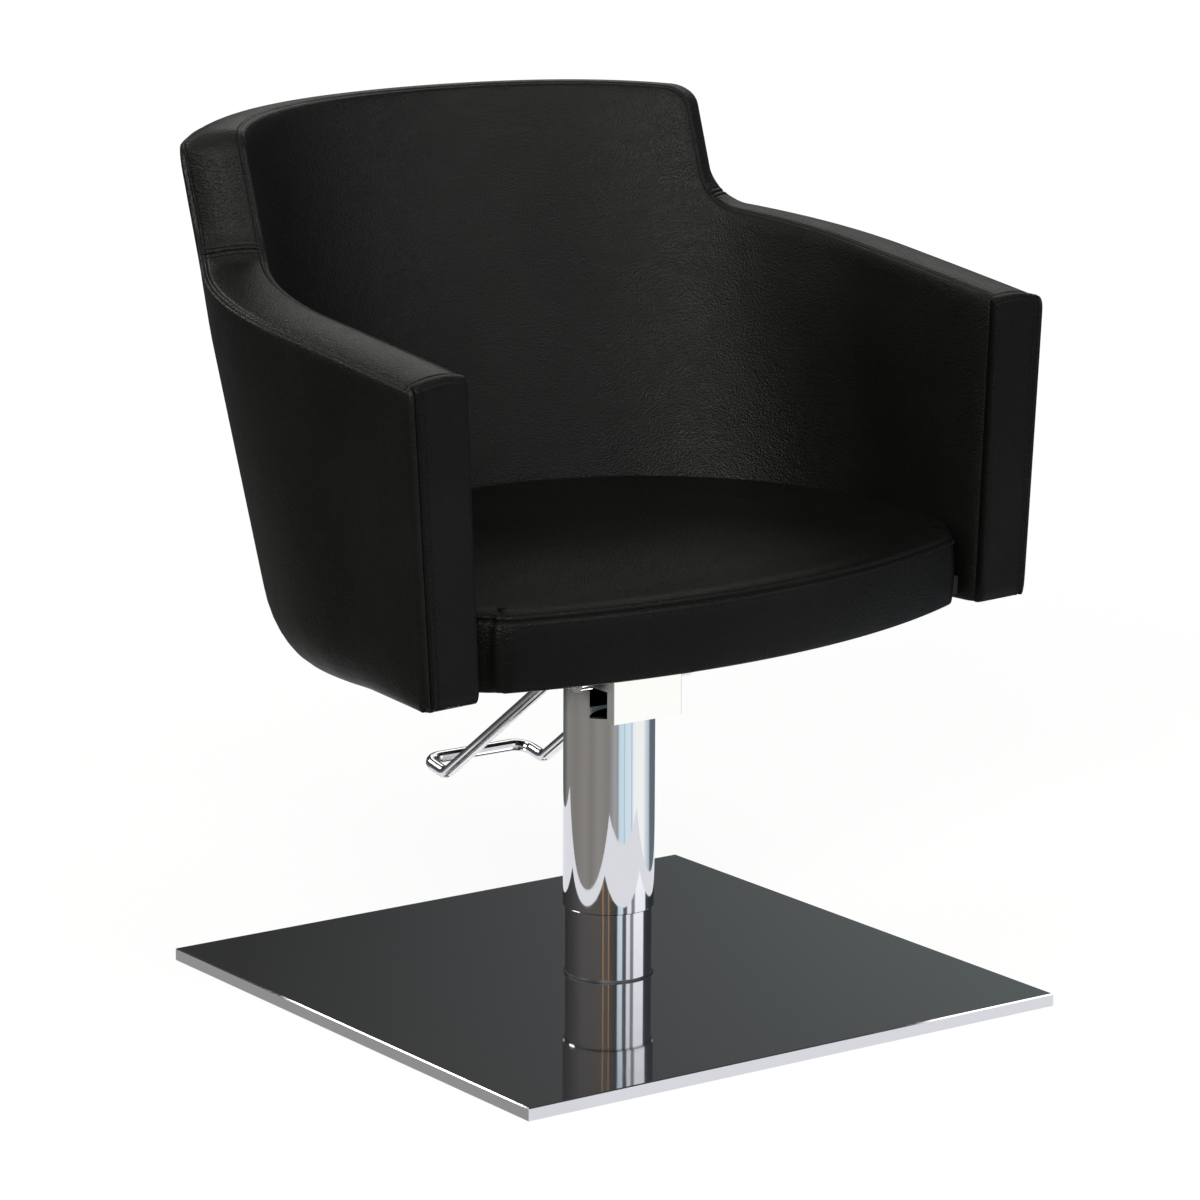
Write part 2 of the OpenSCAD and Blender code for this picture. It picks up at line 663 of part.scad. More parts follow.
// Stations along one half: point, direction and the direction of the ring's second axis
pedal_up = unit(cross(LEVER_PATH[3] - LEVER_PATH[2], ACROSS));
LEVER_STATIONS = concat(
    [[LEVER_PATH[0], unit(LEVER_PATH[1] - LEVER_PATH[0])]],
    [for (i = [1 : 3]) each bend_steps(LEVER_PATH[i - 1], LEVER_PATH[i], LEVER_PATH[i + 1])],
    [[LEVER_PATH[4], -ACROSS]]);
function rod_ring(i) =
    let(c = LEVER_STATIONS[i][0], t = LEVER_STATIONS[i][1],
        up = i > 2 * BEND_STEPS + 2 ? pedal_up : unit(cross(t, ACROSS)), out = cross(t, up))
    [for (k = [0 : ROD_SIDES - 1]) let(b = 360 * k / ROD_SIDES)
        c + rod_d / 2 * (cos(b) * out + sin(b) * up)];
module foot_lever() {
    n = len(LEVER_STATIONS);
    half = [for (i = [0 : n - 1]) rod_ring(i)];
    other = [for (i = [1 : n - 1]) [for (p = half[n - 1 - i]) [-p[0], p[1], p[2]]]];
    color("silver") on_base() difference() {
        union() {
            loft(concat(half, other));
            for (i = [-1, 1]) translate([i * arm_x, -shaft_front, shaft_z]) rotate([0, 90, 0])
                cylinder(r = eye_r, h = eye_w, center = true);
        }
        translate([-shaft_half - over, -shaft_front, shaft_z]) rotate([0, 90, 0])
            cylinder(r = shaft_r + fit_gap, h = 2 * (shaft_half + over));
    }
}

module lever_shaft() {
    color("silver") on_base() translate([0, -shaft_front, shaft_z]) rotate([0, 90, 0])
        cylinder(r = shaft_r, h = 2 * shaft_half, center = true);
}

module lever_cam() {
    color("gray") on_base() difference() {
        hull() {
            translate([-cam_w / 2, -shaft_front, shaft_z]) rotate([0, 90, 0])
                cylinder(r = cam_r, h = cam_w, $fn = 40);
            translate([-cam_w / 2, -plunger_front, finger_z]) rotate([0, 90, 0])
                cylinder(r = finger_r, h = cam_w, $fn = 40);
        }
        translate([-cam_w, -shaft_front, shaft_z]) rotate([0, 90, 0])
            cylinder(r = shaft_r + fit_gap, h = 2 * cam_w);
    }
}

module shaft_screws() {
    color("dimgray") on_base() for (i = [-1, 1]) translate([i * shaft_half, -shaft_front, shaft_z])
        rotate([0, i * 90, 0]) cylinder(r1 = shaft_r * 1.4, r2 = shaft_r, h = shaft_r * 0.5);
}

// Seat bracket: a plate with a hub under it and four webs

plate_x = 2 * bolt_x + bolt_d * 5;
plate_y = 2 * bolt_y + bolt_d * 5;
hub_r = washer_r;
web_t = plate_t;
web_len = bolt_y * 0.9;
module bolt_places() {
    for (i = [-1, 1], j = [-1, 1]) translate([i * bolt_x, j * bolt_y, 0]) children();
}
module seat_bracket() {
    web_h = plate_z - hub_bottom - washer_t;
    color("dimgray") difference() {
        union() {
            translate([0, 0, plate_z]) linear_extrude(plate_t) round_plate(plate_x, plate_y, bolt_d * 1.5);
            translate([0, 0, hub_bottom]) cylinder(r = hub_r, h = plate_z - hub_bottom + over);
            for (q = [45 : 90 : 315]) rotate([0, 0, q]) translate([0, web_t / 2, 0]) rotate([90, 0, 0])
                linear_extrude(web_t) polygon([
                    [hub_r * 0.9, plate_z + over], [hub_r + web_len, plate_z + over],
                    [hub_r + web_len, plate_z - web_t / 2], [hub_r * 0.9, plate_z - web_h]]);
        }
        translate([0, 0, hub_bottom - over])
            cylinder(r = spindle_r + fit_gap, h = plate_z + plate_t - hub_bottom + 2 * over);
        translate([0, 0, ring_z - seat_clear])
            cylinder(r = spindle_r * 1.35, h = plate_z + plate_t - ring_z + seat_clear + over);
        bolt_places() translate([0, 0, plate_z - over])
            cylinder(d = bolt_d + 4 * fit_gap, h = plate_t + 2 * over);
    }
}

module spindle_ring() {
    color("gray") tube(spindle_r * 1.25, spindle_r - ring_t + fit_gap, ring_z, ring_z + ring_t);
}

module bracket_bolts() {
    color("gray") bolt_places() {
        translate([0, 0, plate_z - bolt_d * 0.65]) cylinder(d = bolt_d * 1.8, h = bolt_d * 0.65, $fn = 6);
        translate([0, 0, plate_z - over]) cylinder(d = bolt_d, h = plate_t + board_t * 0.9 + over);
    }
}

// Seat board: follows the inside of the shell frame, which is bolted to its edge

BOARD_STEPS = 14;
// Gap between the edge of the board and the frame
board_gap = seat_clear * 5;
function board_half() = concat(
    [[half_in_low + wall_low * pad_share - board_gap, -board_front]],
    [for (i = [0 : BOARD_STEPS])
        let(s = mix(arm_len * 0.55, path_len, i / BOARD_STEPS), p = shell_pt(s, board_z, pad_share))
        [max(0, p[0] - board_gap), p[1] - board_gap]]);
module board_shape() {
    h = board_half();
    polygon(concat(h, [for (p = flip(h)) [-p[0], p[1]]]));
}
module seat_board() {
    color("burlywood") difference() {
        translate([0, 0, board_z]) linear_extrude(board_t) board_shape();
        bolt_places() translate([0, 0, board_z - over])
            cylinder(d = bolt_d + 2 * fit_gap, h = board_t * 0.95 + over);
        shell_bolt_places() rotate([0, -90, 0]) cylinder(d = bolt_d + 2 * fit_gap, h = half_in_low / 4);
    }
}

// Shell bolts: through the frame, square to it, into the edge of the board
bolt_z = board_z + board_t / 2;
// Places of the bolts, as shares of the way along the shell
shell_bolt_shares = [0.13, 0.45, 0.78];
head_len = bolt_d * 0.3;
module shell_bolt_places() {
    w = mix(pad_share, panel_share, 0.2);
    for (m = [0, 1], k = shell_bolt_shares) mirror([m, 0, 0]) {
        p = shell_pt(k * path_len, bolt_z, w);
        d = shell_pt(k * path_len + over, bolt_z, w) - p;
        translate(p) rotate([0, 0, atan2(-d[0], d[1])]) children();
    }
}
module shell_bolts() {
    color("gray") shell_bolt_places() rotate([0, -90, 0]) {
        cylinder(d = bolt_d, h = half_in_low / 4 - over);
        translate([0, 0, -head_len]) cylinder(d = bolt_d * 1.7, h = head_len);
    }
}

// Shell layers

module shell_frame() {
    color("tan") difference() {
        layer(pad_share + layer_share, panel_share - layer_share);
        shell_bolt_places() rotate([0, -90, 0]) {
            translate([0, 0, -bolt_d]) cylinder(d = bolt_d + 4 * fit_gap, h = half_in_low / 4);
            translate([0, 0, -half_in_low / 8]) cylinder(d = bolt_d * 1.8, h = half_in_low / 8);
        }
    }
}

module inner_pad() {
    color("black") difference() {
        layer(0, pad_share);
        translate([0, 0, shell_bottom - over])
            linear_extrude(board_z + board_t + seat_clear - shell_bottom + over)
            offset(delta = board_gap * 2 + lean * board_t + hem_cut(board_z) * pad_share) board_shape();
    }
}

module outer_panel() {
    color("black") layer(panel_share, 1);
}

// Rim strips: crowned bands that close the top of the shell between two seams

STRIP_STEPS = 6;
function strip_ring(i, side) =
    let(a = rim_sz(i, 0), b = rim_sz(i, 1), n = -rim_normal(i))
    let(top = [for (k = [0 : STRIP_STEPS]) let(w = k / STRIP_STEPS,
                c = rim_edge + rim_crown * sqrt(max(0, 1 - pow(2 * w - 1, 2)))) [w, c]],
        low = [for (k = [0 : STRIP_STEPS]) [1 - k / STRIP_STEPS, layer_gap]])
    [for (q = concat(top, low))
        let(v = mix(a, b, q[0]) + n * q[1],
            p = shell_pt(i == RIM_LAST ? path_len : max(0, v[0]), v[1], q[0]))
        [side * p[0], p[1], p[2]]];

// Half width of the gap at the seams of the rim, in rim points
seam_part_share = 0.01;
back_places = concat([BACK_SEAM + seam_part_share], [for (i = [ceil(BACK_SEAM) : RIM_LAST]) i]);
arm_places = concat([for (i = [0 : floor(BACK_SEAM)]) i], [BACK_SEAM - seam_part_share]);
module back_rim() {
    n = len(back_places);
    color("black") loft(concat(
        [for (x = back_places) strip_ring(x, -1)],
        [for (i = [1 : n - 1]) strip_ring(back_places[n - 1 - i], 1)]));
}

module arm_rim_strip(side) {
    rings = [for (x = arm_places) strip_ring(x, side)];
    color("black") loft(side < 0 ? rings : flip(rings));
}
module left_arm_rim() { arm_rim_strip(-1); }
module right_arm_rim() { arm_rim_strip(1); }

// Arm facings: the crowned panels on the front ends of the arms
FACING_STEPS = 6;
FACING_ROWS = 5;
function facing_y(w, k) = front_y - facing_edge
    - facing_crown * sqrt(max(0, 1 - pow(2 * w - 1, 2))) * sqrt(max(0, 1 - pow(2 * k - 1, 4)));
function facing_ring(k, side) =
    let(rim = rim_sz(0, 0)[1] + rim_edge)
    let(front = [for (i = [0 : FACING_STEPS]) let(w = i / FACING_STEPS,
                top = rim - rim_fall_arm * w, z = mix(top, shell_bottom, k), p = shell_pt(0, z, w))
            [side * p[0], facing_y(w, k), z]],
        back = [for (i = [0 : FACING_STEPS]) let(w = 1 - i / FACING_STEPS,
                top = rim - rim_fall_arm * w, z = mix(top, shell_bottom, k), p = shell_pt(0, z, w))
            [side * p[0], front_y - layer_gap, z]])
    concat(front, back);
module arm_facing(side) {
    rings = [for (r = [0 : FACING_ROWS]) facing_ring(r / FACING_ROWS, side)];
    color("black") loft(side > 0 ? rings : flip(rings));
}
module left_arm_facing() { arm_facing(-1); }
module right_arm_facing() { arm_facing(1); }

// Seat cushion: bowed front, side walls that follow the shell, and a crown

seat_front_half = half_in_low - seat_front_inset;
SEAT_FRONT = 7;
SEAT_SIDE = 6;
SEAT_BACK = 9;
front_radius = (pow(seat_front_half, 2) + pow(seat_bow, 2)) / (2 * seat_bow);
// Half outline of the cushion at height z, from the middle of the front to the middle of the back,
// drawn in by d. The front corners stand clear of the arms, and the sides then flare out to them.
function seat_half_outline(z, d) =
    let(r = seat_corner_r, x1 = seat_front_half - r, y1 = curve_y(z))
    concat(
        [for (i = [0 : SEAT_FRONT]) let(x = x1 * i / SEAT_FRONT)
            [x, -seat_corner_front - seat_bow + front_radius - sqrt(pow(front_radius, 2) - x * x) + d]],
        [for (i = [1 : 4]) let(q = 22.5 * i)
            [x1 + (r - d) * sin(q), -seat_corner_front + r - (r - d) * cos(q)]],
        [for (i = [1 : SEAT_SIDE]) let(k = i / SEAT_SIDE, y = mix(-seat_corner_front + r, y1, k),
                wide = shell_pt(arm_len, z, 0)[0] - seat_gap)
            [mix(seat_front_half, wide, 1 - pow(1 - min(1, k * 1.6), 3)) - d, y]],
        [for (i = [1 : SEAT_BACK]) let(q = 90 * i / SEAT_BACK,
                a = shell_pt(arm_len, z, 0)[0] - seat_gap - d, b = back_depth_in - seat_gap - d)
            [i == SEAT_BACK ? 0 : a * cos(q), curve_y(z) + b * sin(q)]]);
function seat_outline(z, d) =
    let(h = seat_half_outline(z, d), n = len(h))
    concat(h, [for (i = [1 : n - 2]) [-h[n - 1 - i][0], h[n - 1 - i][1]]]);
function seat_edge_z(y) = seat_front_z + tan(seat_slope) * max(0, y + seat_corner_front);
// Rings of the side wall: share of the height and depth drawn in
seat_wall_shares = [0, 0.12, 0.5, 0.88, 1];
seat_wall_in_shares = [0.8, 0.15, 0, 0.15, 0.7];
// Rings of the crown: share of the way to the middle
seat_crown_shares = [0.04, 0.12, 0.26, 0.45, 0.7];
seat_mid_y = (-seat_corner_front - seat_bow + curve_y(seat_front_z) + back_depth_in) / 2;
module seat_body() {
    roll = seat_bow * 0.1;
    walls = [for (k = [0 : 4])
        let(zr = mix(seat_low_z, seat_front_z, seat_wall_shares[k]),
            o = seat_outline(zr, roll * seat_wall_in_shares[k]))
        [for (p = o) [p[0], p[1], mix(seat_low_z, seat_edge_z(p[1]), seat_wall_shares[k])]]];
    edge = seat_outline(seat_front_z, roll * seat_wall_in_shares[4]);
    crown = [for (c = seat_crown_shares)
        [for (p = edge) [p[0] * (1 - c), mix(p[1], seat_mid_y, c),
            seat_edge_z(mix(p[1], seat_mid_y, c)) + seat_crown * (1 - pow(1 - c, 2.4))]]];
    rings = concat(walls, crown);
    n = len(edge);
    m = len(rings);
    pts = concat([for (r = rings) each r],
        [[0, seat_mid_y, seat_low_z], [0, seat_mid_y, seat_edge_z(seat_mid_y) + seat_crown]]);
    sides = [for (i = [0 : m - 2], j = [0 : n - 1])
        let(a = i * n + j, b = i * n + (j + 1) % n, c = b + n, d = a + n)
        each [[a, c, b], [a, d, c]]];
    under = [for (j = [0 : n - 1]) [m * n, j, (j + 1) % n]];
    over_top = [for (j = [0 : n - 1]) [m * n + 1, (m - 1) * n + (j + 1) % n, (m - 1) * n + j]];
    polyhedron(points = pts, faces = concat(sides, under, over_top), convexity = 6);
}
module seat_cushion() {
    color("black") difference() {
        seat_body();
        translate([0, 0, seat_low_z - over])
            linear_extrude(board_z + board_t + seat_clear - seat_low_z + over)
            offset(delta = seat_clear) board_shape();
    }
}

base_mat();
base_core();
base_cover();
foot_screws();
cylinder_foot();
pump_cylinder();
guide_tube();
cylinder_gland();
wiper_seal();
ram();
piston();
piston_seal();
sleeve();
pump_head();
front_housing();
housing_screws();
thrust_washer();
plunger_spring();
pump_plunger();
foot_lever();
lever_shaft();
lever_cam();
shaft_screws();
seat_bracket();
spindle_ring();
bracket_bolts();
seat_board();
seat_cushion();
shell_frame();
shell_bolts();
inner_pad();
outer_panel();
back_rim();
left_arm_rim();
right_arm_rim();
left_arm_facing();
right_arm_facing();
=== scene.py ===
import math

import bmesh
import bpy
import numpy as np
from mathutils import Matrix, Vector


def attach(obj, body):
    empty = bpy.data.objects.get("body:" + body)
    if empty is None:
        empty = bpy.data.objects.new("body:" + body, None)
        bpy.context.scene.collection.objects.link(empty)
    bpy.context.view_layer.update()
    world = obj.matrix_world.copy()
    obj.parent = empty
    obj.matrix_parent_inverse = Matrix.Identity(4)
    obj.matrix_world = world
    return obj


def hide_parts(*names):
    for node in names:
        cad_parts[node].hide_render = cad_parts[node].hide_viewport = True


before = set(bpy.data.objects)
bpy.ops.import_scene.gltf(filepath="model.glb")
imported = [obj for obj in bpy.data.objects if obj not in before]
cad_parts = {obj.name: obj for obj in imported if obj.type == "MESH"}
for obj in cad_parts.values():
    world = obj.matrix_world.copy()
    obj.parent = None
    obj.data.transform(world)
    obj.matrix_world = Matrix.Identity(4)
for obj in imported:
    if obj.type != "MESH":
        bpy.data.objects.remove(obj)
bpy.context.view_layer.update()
MM = 0.001


def put(name, data):
    """A new object at the origin, linked to the scene."""
    obj = bpy.data.objects.new(name, data)
    bpy.context.scene.collection.objects.link(obj)
    return obj


# ---------------------------------------------------------------- camera

# Solved on the corners of the base plate, the tubes and the mirrored points of the shell: turn,
# tilt and roll in radians, reach and shift in metres from the target, focal length in pixels
CAM_TURN, CAM_TILT, CAM_ROLL = -0.72489, 0.21831, 0.00369
CAM_REACH, CAM_SHIFT, CAM_TARGET = 4.316057, (-0.0086046, -0.05529243), (0, 0, 0.4)
FOCAL_PX, IMAGE_PX, SENSOR_MM = 5031.38, 1200, 36


def make_camera():
    az, el, roll = CAM_TURN, CAM_TILT, CAM_ROLL
    back = Vector((math.sin(az) * math.cos(el), -math.cos(az) * math.cos(el), math.sin(el)))
    right = Vector((math.cos(az), math.sin(az), 0))
    up = back.cross(right)
    r2 = right * math.cos(roll) + up * math.sin(roll)
    u2 = up * math.cos(roll) - right * math.sin(roll)
    place = back * CAM_REACH + r2 * CAM_SHIFT[0] + u2 * CAM_SHIFT[1] + Vector(CAM_TARGET)
    data = bpy.data.cameras.new("camera")
    data.lens = FOCAL_PX * SENSOR_MM / IMAGE_PX
    data.sensor_width = SENSOR_MM
    data.clip_end = 60
    cam = put("camera", data)
    turn = Matrix((r2, u2, back)).transposed().to_4x4()
    cam.matrix_world = Matrix.Translation(place) @ turn
    bpy.context.scene.camera = cam


# ---------------------------------------------------------------- materials

# Directions on the floor from the column to the camera and to the right of the picture
TO_CAMERA = (-0.6630, -0.7486, 0.0)
TO_RIGHT = (0.7486, -0.6630, 0.0)


class Graph:
    """Adds and links nodes of one material or world by short calls."""

    def __init__(self, tree):
        self.tree = tree

    def add(self, kind, **values):
        """A new node; each value sets its property of that name, or else its input."""
        node = self.tree.nodes.new(kind)
        for key, value in values.items():
            if hasattr(node, key):
                setattr(node, key, value)
            else:
                node.inputs[key].default_value = value
        return node

    def link(self, a, b):
        self.tree.links.new(a, b)

    def math(self, op, a, b=None):
        m = self.add("ShaderNodeMath", operation=op)
        for k, v in enumerate((a, b)):
            if isinstance(v, (int, float)):
                m.inputs[k].default_value = v
            elif v is not None:
                self.link(v, m.inputs[k])
        return m.outputs[0]

    def ramp(self, value, low, high, lo_out=0.0, hi_out=1.0):
        """The value, with low to high stretched to lo_out to hi_out and cut off there."""
        m = self.add("ShaderNodeMapRange")
        m.inputs["From Min"].default_value = low
        m.inputs["From Max"].default_value = high
        m.inputs["To Min"].default_value = lo_out
        m.inputs["To Max"].default_value = hi_out
        self.link(value, m.inputs["Value"])
        return m.outputs["Result"]

    def blend(self, fac, a, b):
        """Colour from a to b by fac; a colour is a tuple or another node's output."""
        m = self.add("ShaderNodeMix", data_type="RGBA")
        self.link(fac, m.inputs["Factor"])
        for key, v in (("A", a), ("B", b)):
            if isinstance(v, tuple):
                m.inputs[key].default_value = v
            else:
                self.link(v, m.inputs[key])
        return m.outputs["Result"]

    def layer(self, fac, a, b):
        """Shader a, or b where fac is 1."""
        m = self.add("ShaderNodeMixShader")
        self.link(fac, m.inputs["Fac"])
        self.link(a, m.inputs[1])
        self.link(b, m.inputs[2])
        return m.outputs[0]

    def dot(self, vector, axis):
        d = self.add("ShaderNodeVectorMath", operation="DOT_PRODUCT")
        self.link(vector, d.inputs[0])
        d.inputs[1].default_value = axis
        return d.outputs["Value"]

    def around(self, vector, stops):
        """Colour by the direction seen from the column."""
        turn = self.math("ARCTAN2", self.dot(vector, TO_RIGHT), self.dot(vector, TO_CAMERA))
        ramp = self.add("ShaderNodeValToRGB")
        fill_ramp(ramp.color_ramp, stops)
        self.link(self.math("ADD", self.math("DIVIDE", turn, 2 * math.pi), 0.5), ramp.inputs["Fac"])
        return ramp.outputs["Color"]


def fill_ramp(ramp, stops):
    while len(ramp.elements) < len(stops):
        ramp.elements.new(0.5)
    for e, (pos, col) in zip(ramp.elements, stops):
        e.position = pos
    for e, (pos, col) in zip(ramp.elements, stops):
        e.color = (*col, 1)


class Finish(Graph):
    """The nodes of one material on the chair, with its shader."""

    def __init__(self, name):
        self.mat = bpy.data.materials.new(name)
        self.mat.use_nodes = True
        super().__init__(self.mat.node_tree)
        self.shader = self.tree.nodes["Principled BSDF"]

    def noise(self, vector, scale, detail=3.0, rough=0.5):
        n = self.add("ShaderNodeTexNoise", Scale=scale, Detail=detail, Roughness=rough)
        self.link(vector, n.inputs["Vector"])
        return n.outputs["Fac"]

    def scaled(self, vector, scale):
        m = self.add("ShaderNodeMapping")
        m.inputs["Scale"].default_value = scale
        self.link(vector, m.inputs["Vector"])
        return m.outputs["Vector"]

    def bump(self, height, distance, strength=1.0, normal=None):
        b = self.add("ShaderNodeBump")
        b.inputs["Strength"].default_value = strength
        b.inputs["Distance"].default_value = distance
        self.link(height, b.inputs["Height"])
        if normal is not None:
            self.link(normal, b.inputs["Normal"])
        return b.outputs["Normal"]


BLACK_DARK, BLACK_PALE = (0.0026, 0.0028, 0.0025, 1), (0.0042, 0.0044, 0.0040, 1)


def leatherette(name, wrinkle=0.0, grain=0.0, gloss=0.16):
    """Black coated fabric: fine pebble grain, a little tone variation, faint upright pull lines on
    the left of the back (wrinkle) or crosswise creases (grain), and its specular level (gloss), which
    is lowered in darker copies as painted shade."""
    n = Finish(name)
    coord = n.add("ShaderNodeTexCoord").outputs["Object"]
    pebble = n.add("ShaderNodeTexVoronoi", feature="SMOOTH_F1", Scale=640.0)
    pebble.inputs["Smoothness"].default_value = 0.6
    warp = n.add("ShaderNodeTexNoise", Scale=90.0, Detail=2.0)
    n.link(coord, warp.inputs["Vector"])
    bent = n.add("ShaderNodeVectorMath", operation="MULTIPLY_ADD")
    n.link(warp.outputs["Color"], bent.inputs[0])
    bent.inputs[1].default_value = (0.004, 0.004, 0.004)
    n.link(coord, bent.inputs[2])
    n.link(bent.outputs[0], pebble.inputs["Vector"])
    fine = n.noise(coord, 1500.0, 2.0)
    soft = n.noise(coord, 26.0, 3.0)
    dips = n.math("MULTIPLY", pebble.outputs["Distance"], -1.0)
    height = n.math("ADD", dips, n.math("MULTIPLY", fine, 0.25))
    normal = n.bump(height, 0.0006, 0.62)
    normal = n.bump(soft, 0.0028, 0.2, normal)
    if wrinkle:
        split = n.add("ShaderNodeSeparateXYZ")
        n.link(coord, split.inputs[0])
        left = n.ramp(split.outputs["X"], -0.05, -0.19)
        lines = n.noise(n.scaled(coord, (1.0, 1.0, 0.07)), 170.0, 2.0, 0.5)
        normal = n.bump(n.math("MULTIPLY", left, lines), 0.0022, wrinkle, normal)
    if grain:
        creases = n.noise(n.scaled(coord, (1.0, 1.0, 2.4)), 210.0, 3.0, 0.6)
        normal = n.bump(creases, 0.0016, grain, normal)
    n.link(normal, n.shader.inputs["Normal"])
    tone = n.ramp(n.noise(coord, 9.0, 2.0), 0.3, 0.7)
    n.link(n.blend(tone, BLACK_DARK, BLACK_PALE), n.shader.inputs["Base Color"])
    patches = n.math("MULTIPLY", pebble.outputs["Distance"], 0.5)
    patches = n.math("ADD", patches, n.noise(coord, 40.0, 3.0))
    n.link(n.ramp(patches, 0.3, 1.0, 0.31, 0.43), n.shader.inputs["Roughness"])
    n.shader.inputs["Specular IOR Level"].default_value = gloss
    return n.mat


# Painted shade: tint of the base plate's left side band, and tint and reach of the dark in the hollows
# of the head and the housing
SHADED_SIDE_TINT, HOLLOW_SHADE_TINT, HOLLOW_SHADE_REACH = (0.33, 0.32, 0.31), (0.035, 0.045, 0.05), 0.055


def polished(name, tint=(0.83, 0.83, 0.85), rough=(0.02, 0.05), satin_sides_shaded_left=False, shaded_hollows=False):
    """Mirror-polished steel with faint wiping marks. The base plate has satin sides, with painted shade
    on the left one, and the head and the housing get painted shade in their hollows, a base colour gone
    dark where ambient occlusion is low, which darkens the window of the housing."""
    n = Finish(name)
    coord = n.add("ShaderNodeTexCoord").outputs["Object"]
    marks = n.noise(n.scaled(coord, (1.0, 1.0, 5.0)), 60.0, 4.0, 0.6)
    base = n.ramp(marks, 0.35, 0.7, rough[0], rough[1])
    if satin_sides_shaded_left:
        geo = n.add("ShaderNodeNewGeometry")
        split = n.add("ShaderNodeSeparateXYZ")
        n.link(geo.outputs["True Normal"], split.inputs[0])
        side = n.ramp(n.math("ABSOLUTE", split.outputs["Z"]), 0.3, 0.2)
        n.link(n.math("ADD", base, n.math("MULTIPLY", side, 0.26)), n.shader.inputs["Roughness"])
        # Painted shade: the left edge band is made much darker than the front one, standing in for the
        # darker side of the room it faces
        left = n.ramp(split.outputs["X"], -0.7, -0.9)
        n.link(n.blend(left, (*tint, 1), (*SHADED_SIDE_TINT, 1)), n.shader.inputs["Base Color"])
    else:
        n.link(base, n.shader.inputs["Roughness"])
    n.link(n.bump(n.noise(coord, 22.0, 2.0), 0.0006, 0.06), n.shader.inputs["Normal"])
    # Painted shade: the base colour goes dark where ambient occlusion finds near surfaces, in the
    # hollows of the head and the housing and in the window of the housing
    if shaded_hollows:
        hollow = n.add("ShaderNodeAmbientOcclusion", samples=8)
        hollow.inputs["Distance"].default_value = HOLLOW_SHADE_REACH
        open_to_light = n.ramp(hollow.outputs["AO"], 0.62, 0.86)
        n.link(n.blend(open_to_light, (*HOLLOW_SHADE_TINT, 1), (*tint, 1)), n.shader.inputs["Base Color"])
    elif not satin_sides_shaded_left:
        n.shader.inputs["Base Color"].default_value = (*tint, 1)
    n.shader.inputs["Metallic"].default_value = 1.0
    return n.mat


def plain_metal(name, tint, rough):
    """Turned or ground steel: fine rings of tool marks."""
    n = Finish(name)
    coord = n.add("ShaderNodeTexCoord").outputs["Object"]
    marks = n.noise(n.scaled(coord, (1.0, 1.0, 14.0)), 120.0, 3.0)
    n.link(n.ramp(marks, 0.3, 0.7, rough - 0.08, rough + 0.08), n.shader.inputs["Roughness"])
    n.link(n.bump(marks, 0.0002, 0.3), n.shader.inputs["Normal"])
    n.shader.inputs["Base Color"].default_value = (*tint, 1)
    n.shader.inputs["Metallic"].default_value = 1.0
    return n.mat


def matt(name, tint, rough, scale, depth):
    """Paint, rubber, thread or cloth: one tone with a fine uneven surface."""
    n = Finish(name)
    coord = n.add("ShaderNodeTexCoord").outputs["Object"]
    grain = n.noise(coord, scale, 4.0, 0.6)
    dark, pale = [(*[c * k for c in tint], 1) for k in (0.8, 1.15)]
    n.link(n.blend(n.ramp(grain, 0.3, 0.7), dark, pale), n.shader.inputs["Base Color"])
    n.link(n.ramp(grain, 0.3, 0.7, rough - 0.06, rough + 0.06), n.shader.inputs["Roughness"])
    n.link(n.bump(grain, depth, 0.5), n.shader.inputs["Normal"])
    return n.mat


leather = leatherette("black_leatherette")
# Painted shade: the inner cover's copy has a lower specular level, darker where less light falls
leather_pulled_shaded = leatherette("black_leatherette_pulled_shaded", wrinkle=0.25, gloss=0.125)
# Painted shade: the facings' and cushion's copy has a lower specular level, darker where less light
# falls
leather_painted_shade = leatherette("black_leatherette_painted_shade", gloss=0.085)
leather_creased = leatherette("black_leatherette_creased", grain=0.55)
thread = matt("black_thread", (0.009, 0.009, 0.009), 0.85, 900.0, 0.0002)
thread.node_tree.nodes["Principled BSDF"].inputs["Specular IOR Level"].default_value = 0.12
cloth = matt("black_underside_cloth", (0.012, 0.012, 0.012), 0.85, 700.0, 0.0004)
chrome = polished("polished_steel")
chrome_plate = polished("polished_plate", rough=(0.035, 0.055), satin_sides_shaded_left=True)
chrome_front = polished("polished_housing", tint=(0.95, 0.95, 0.945), rough=(0.03, 0.08),
                        shaded_hollows=True)
chrome_head = polished("polished_head", shaded_hollows=True)
chrome_rod = polished("polished_rod", rough=(0.1, 0.14))
steel = plain_metal("ground_steel", (0.5, 0.51, 0.53), 0.32)
oiled_steel = plain_metal("oiled_steel", (0.07, 0.075, 0.08), 0.42)
bronze = plain_metal("bronze", (0.6, 0.42, 0.2), 0.35)
paint = matt("black_paint", (0.03, 0.03, 0.03), 0.4, 300.0, 0.0003)
rubber = matt("black_rubber", (0.028, 0.028, 0.028), 0.8, 500.0, 0.0004)

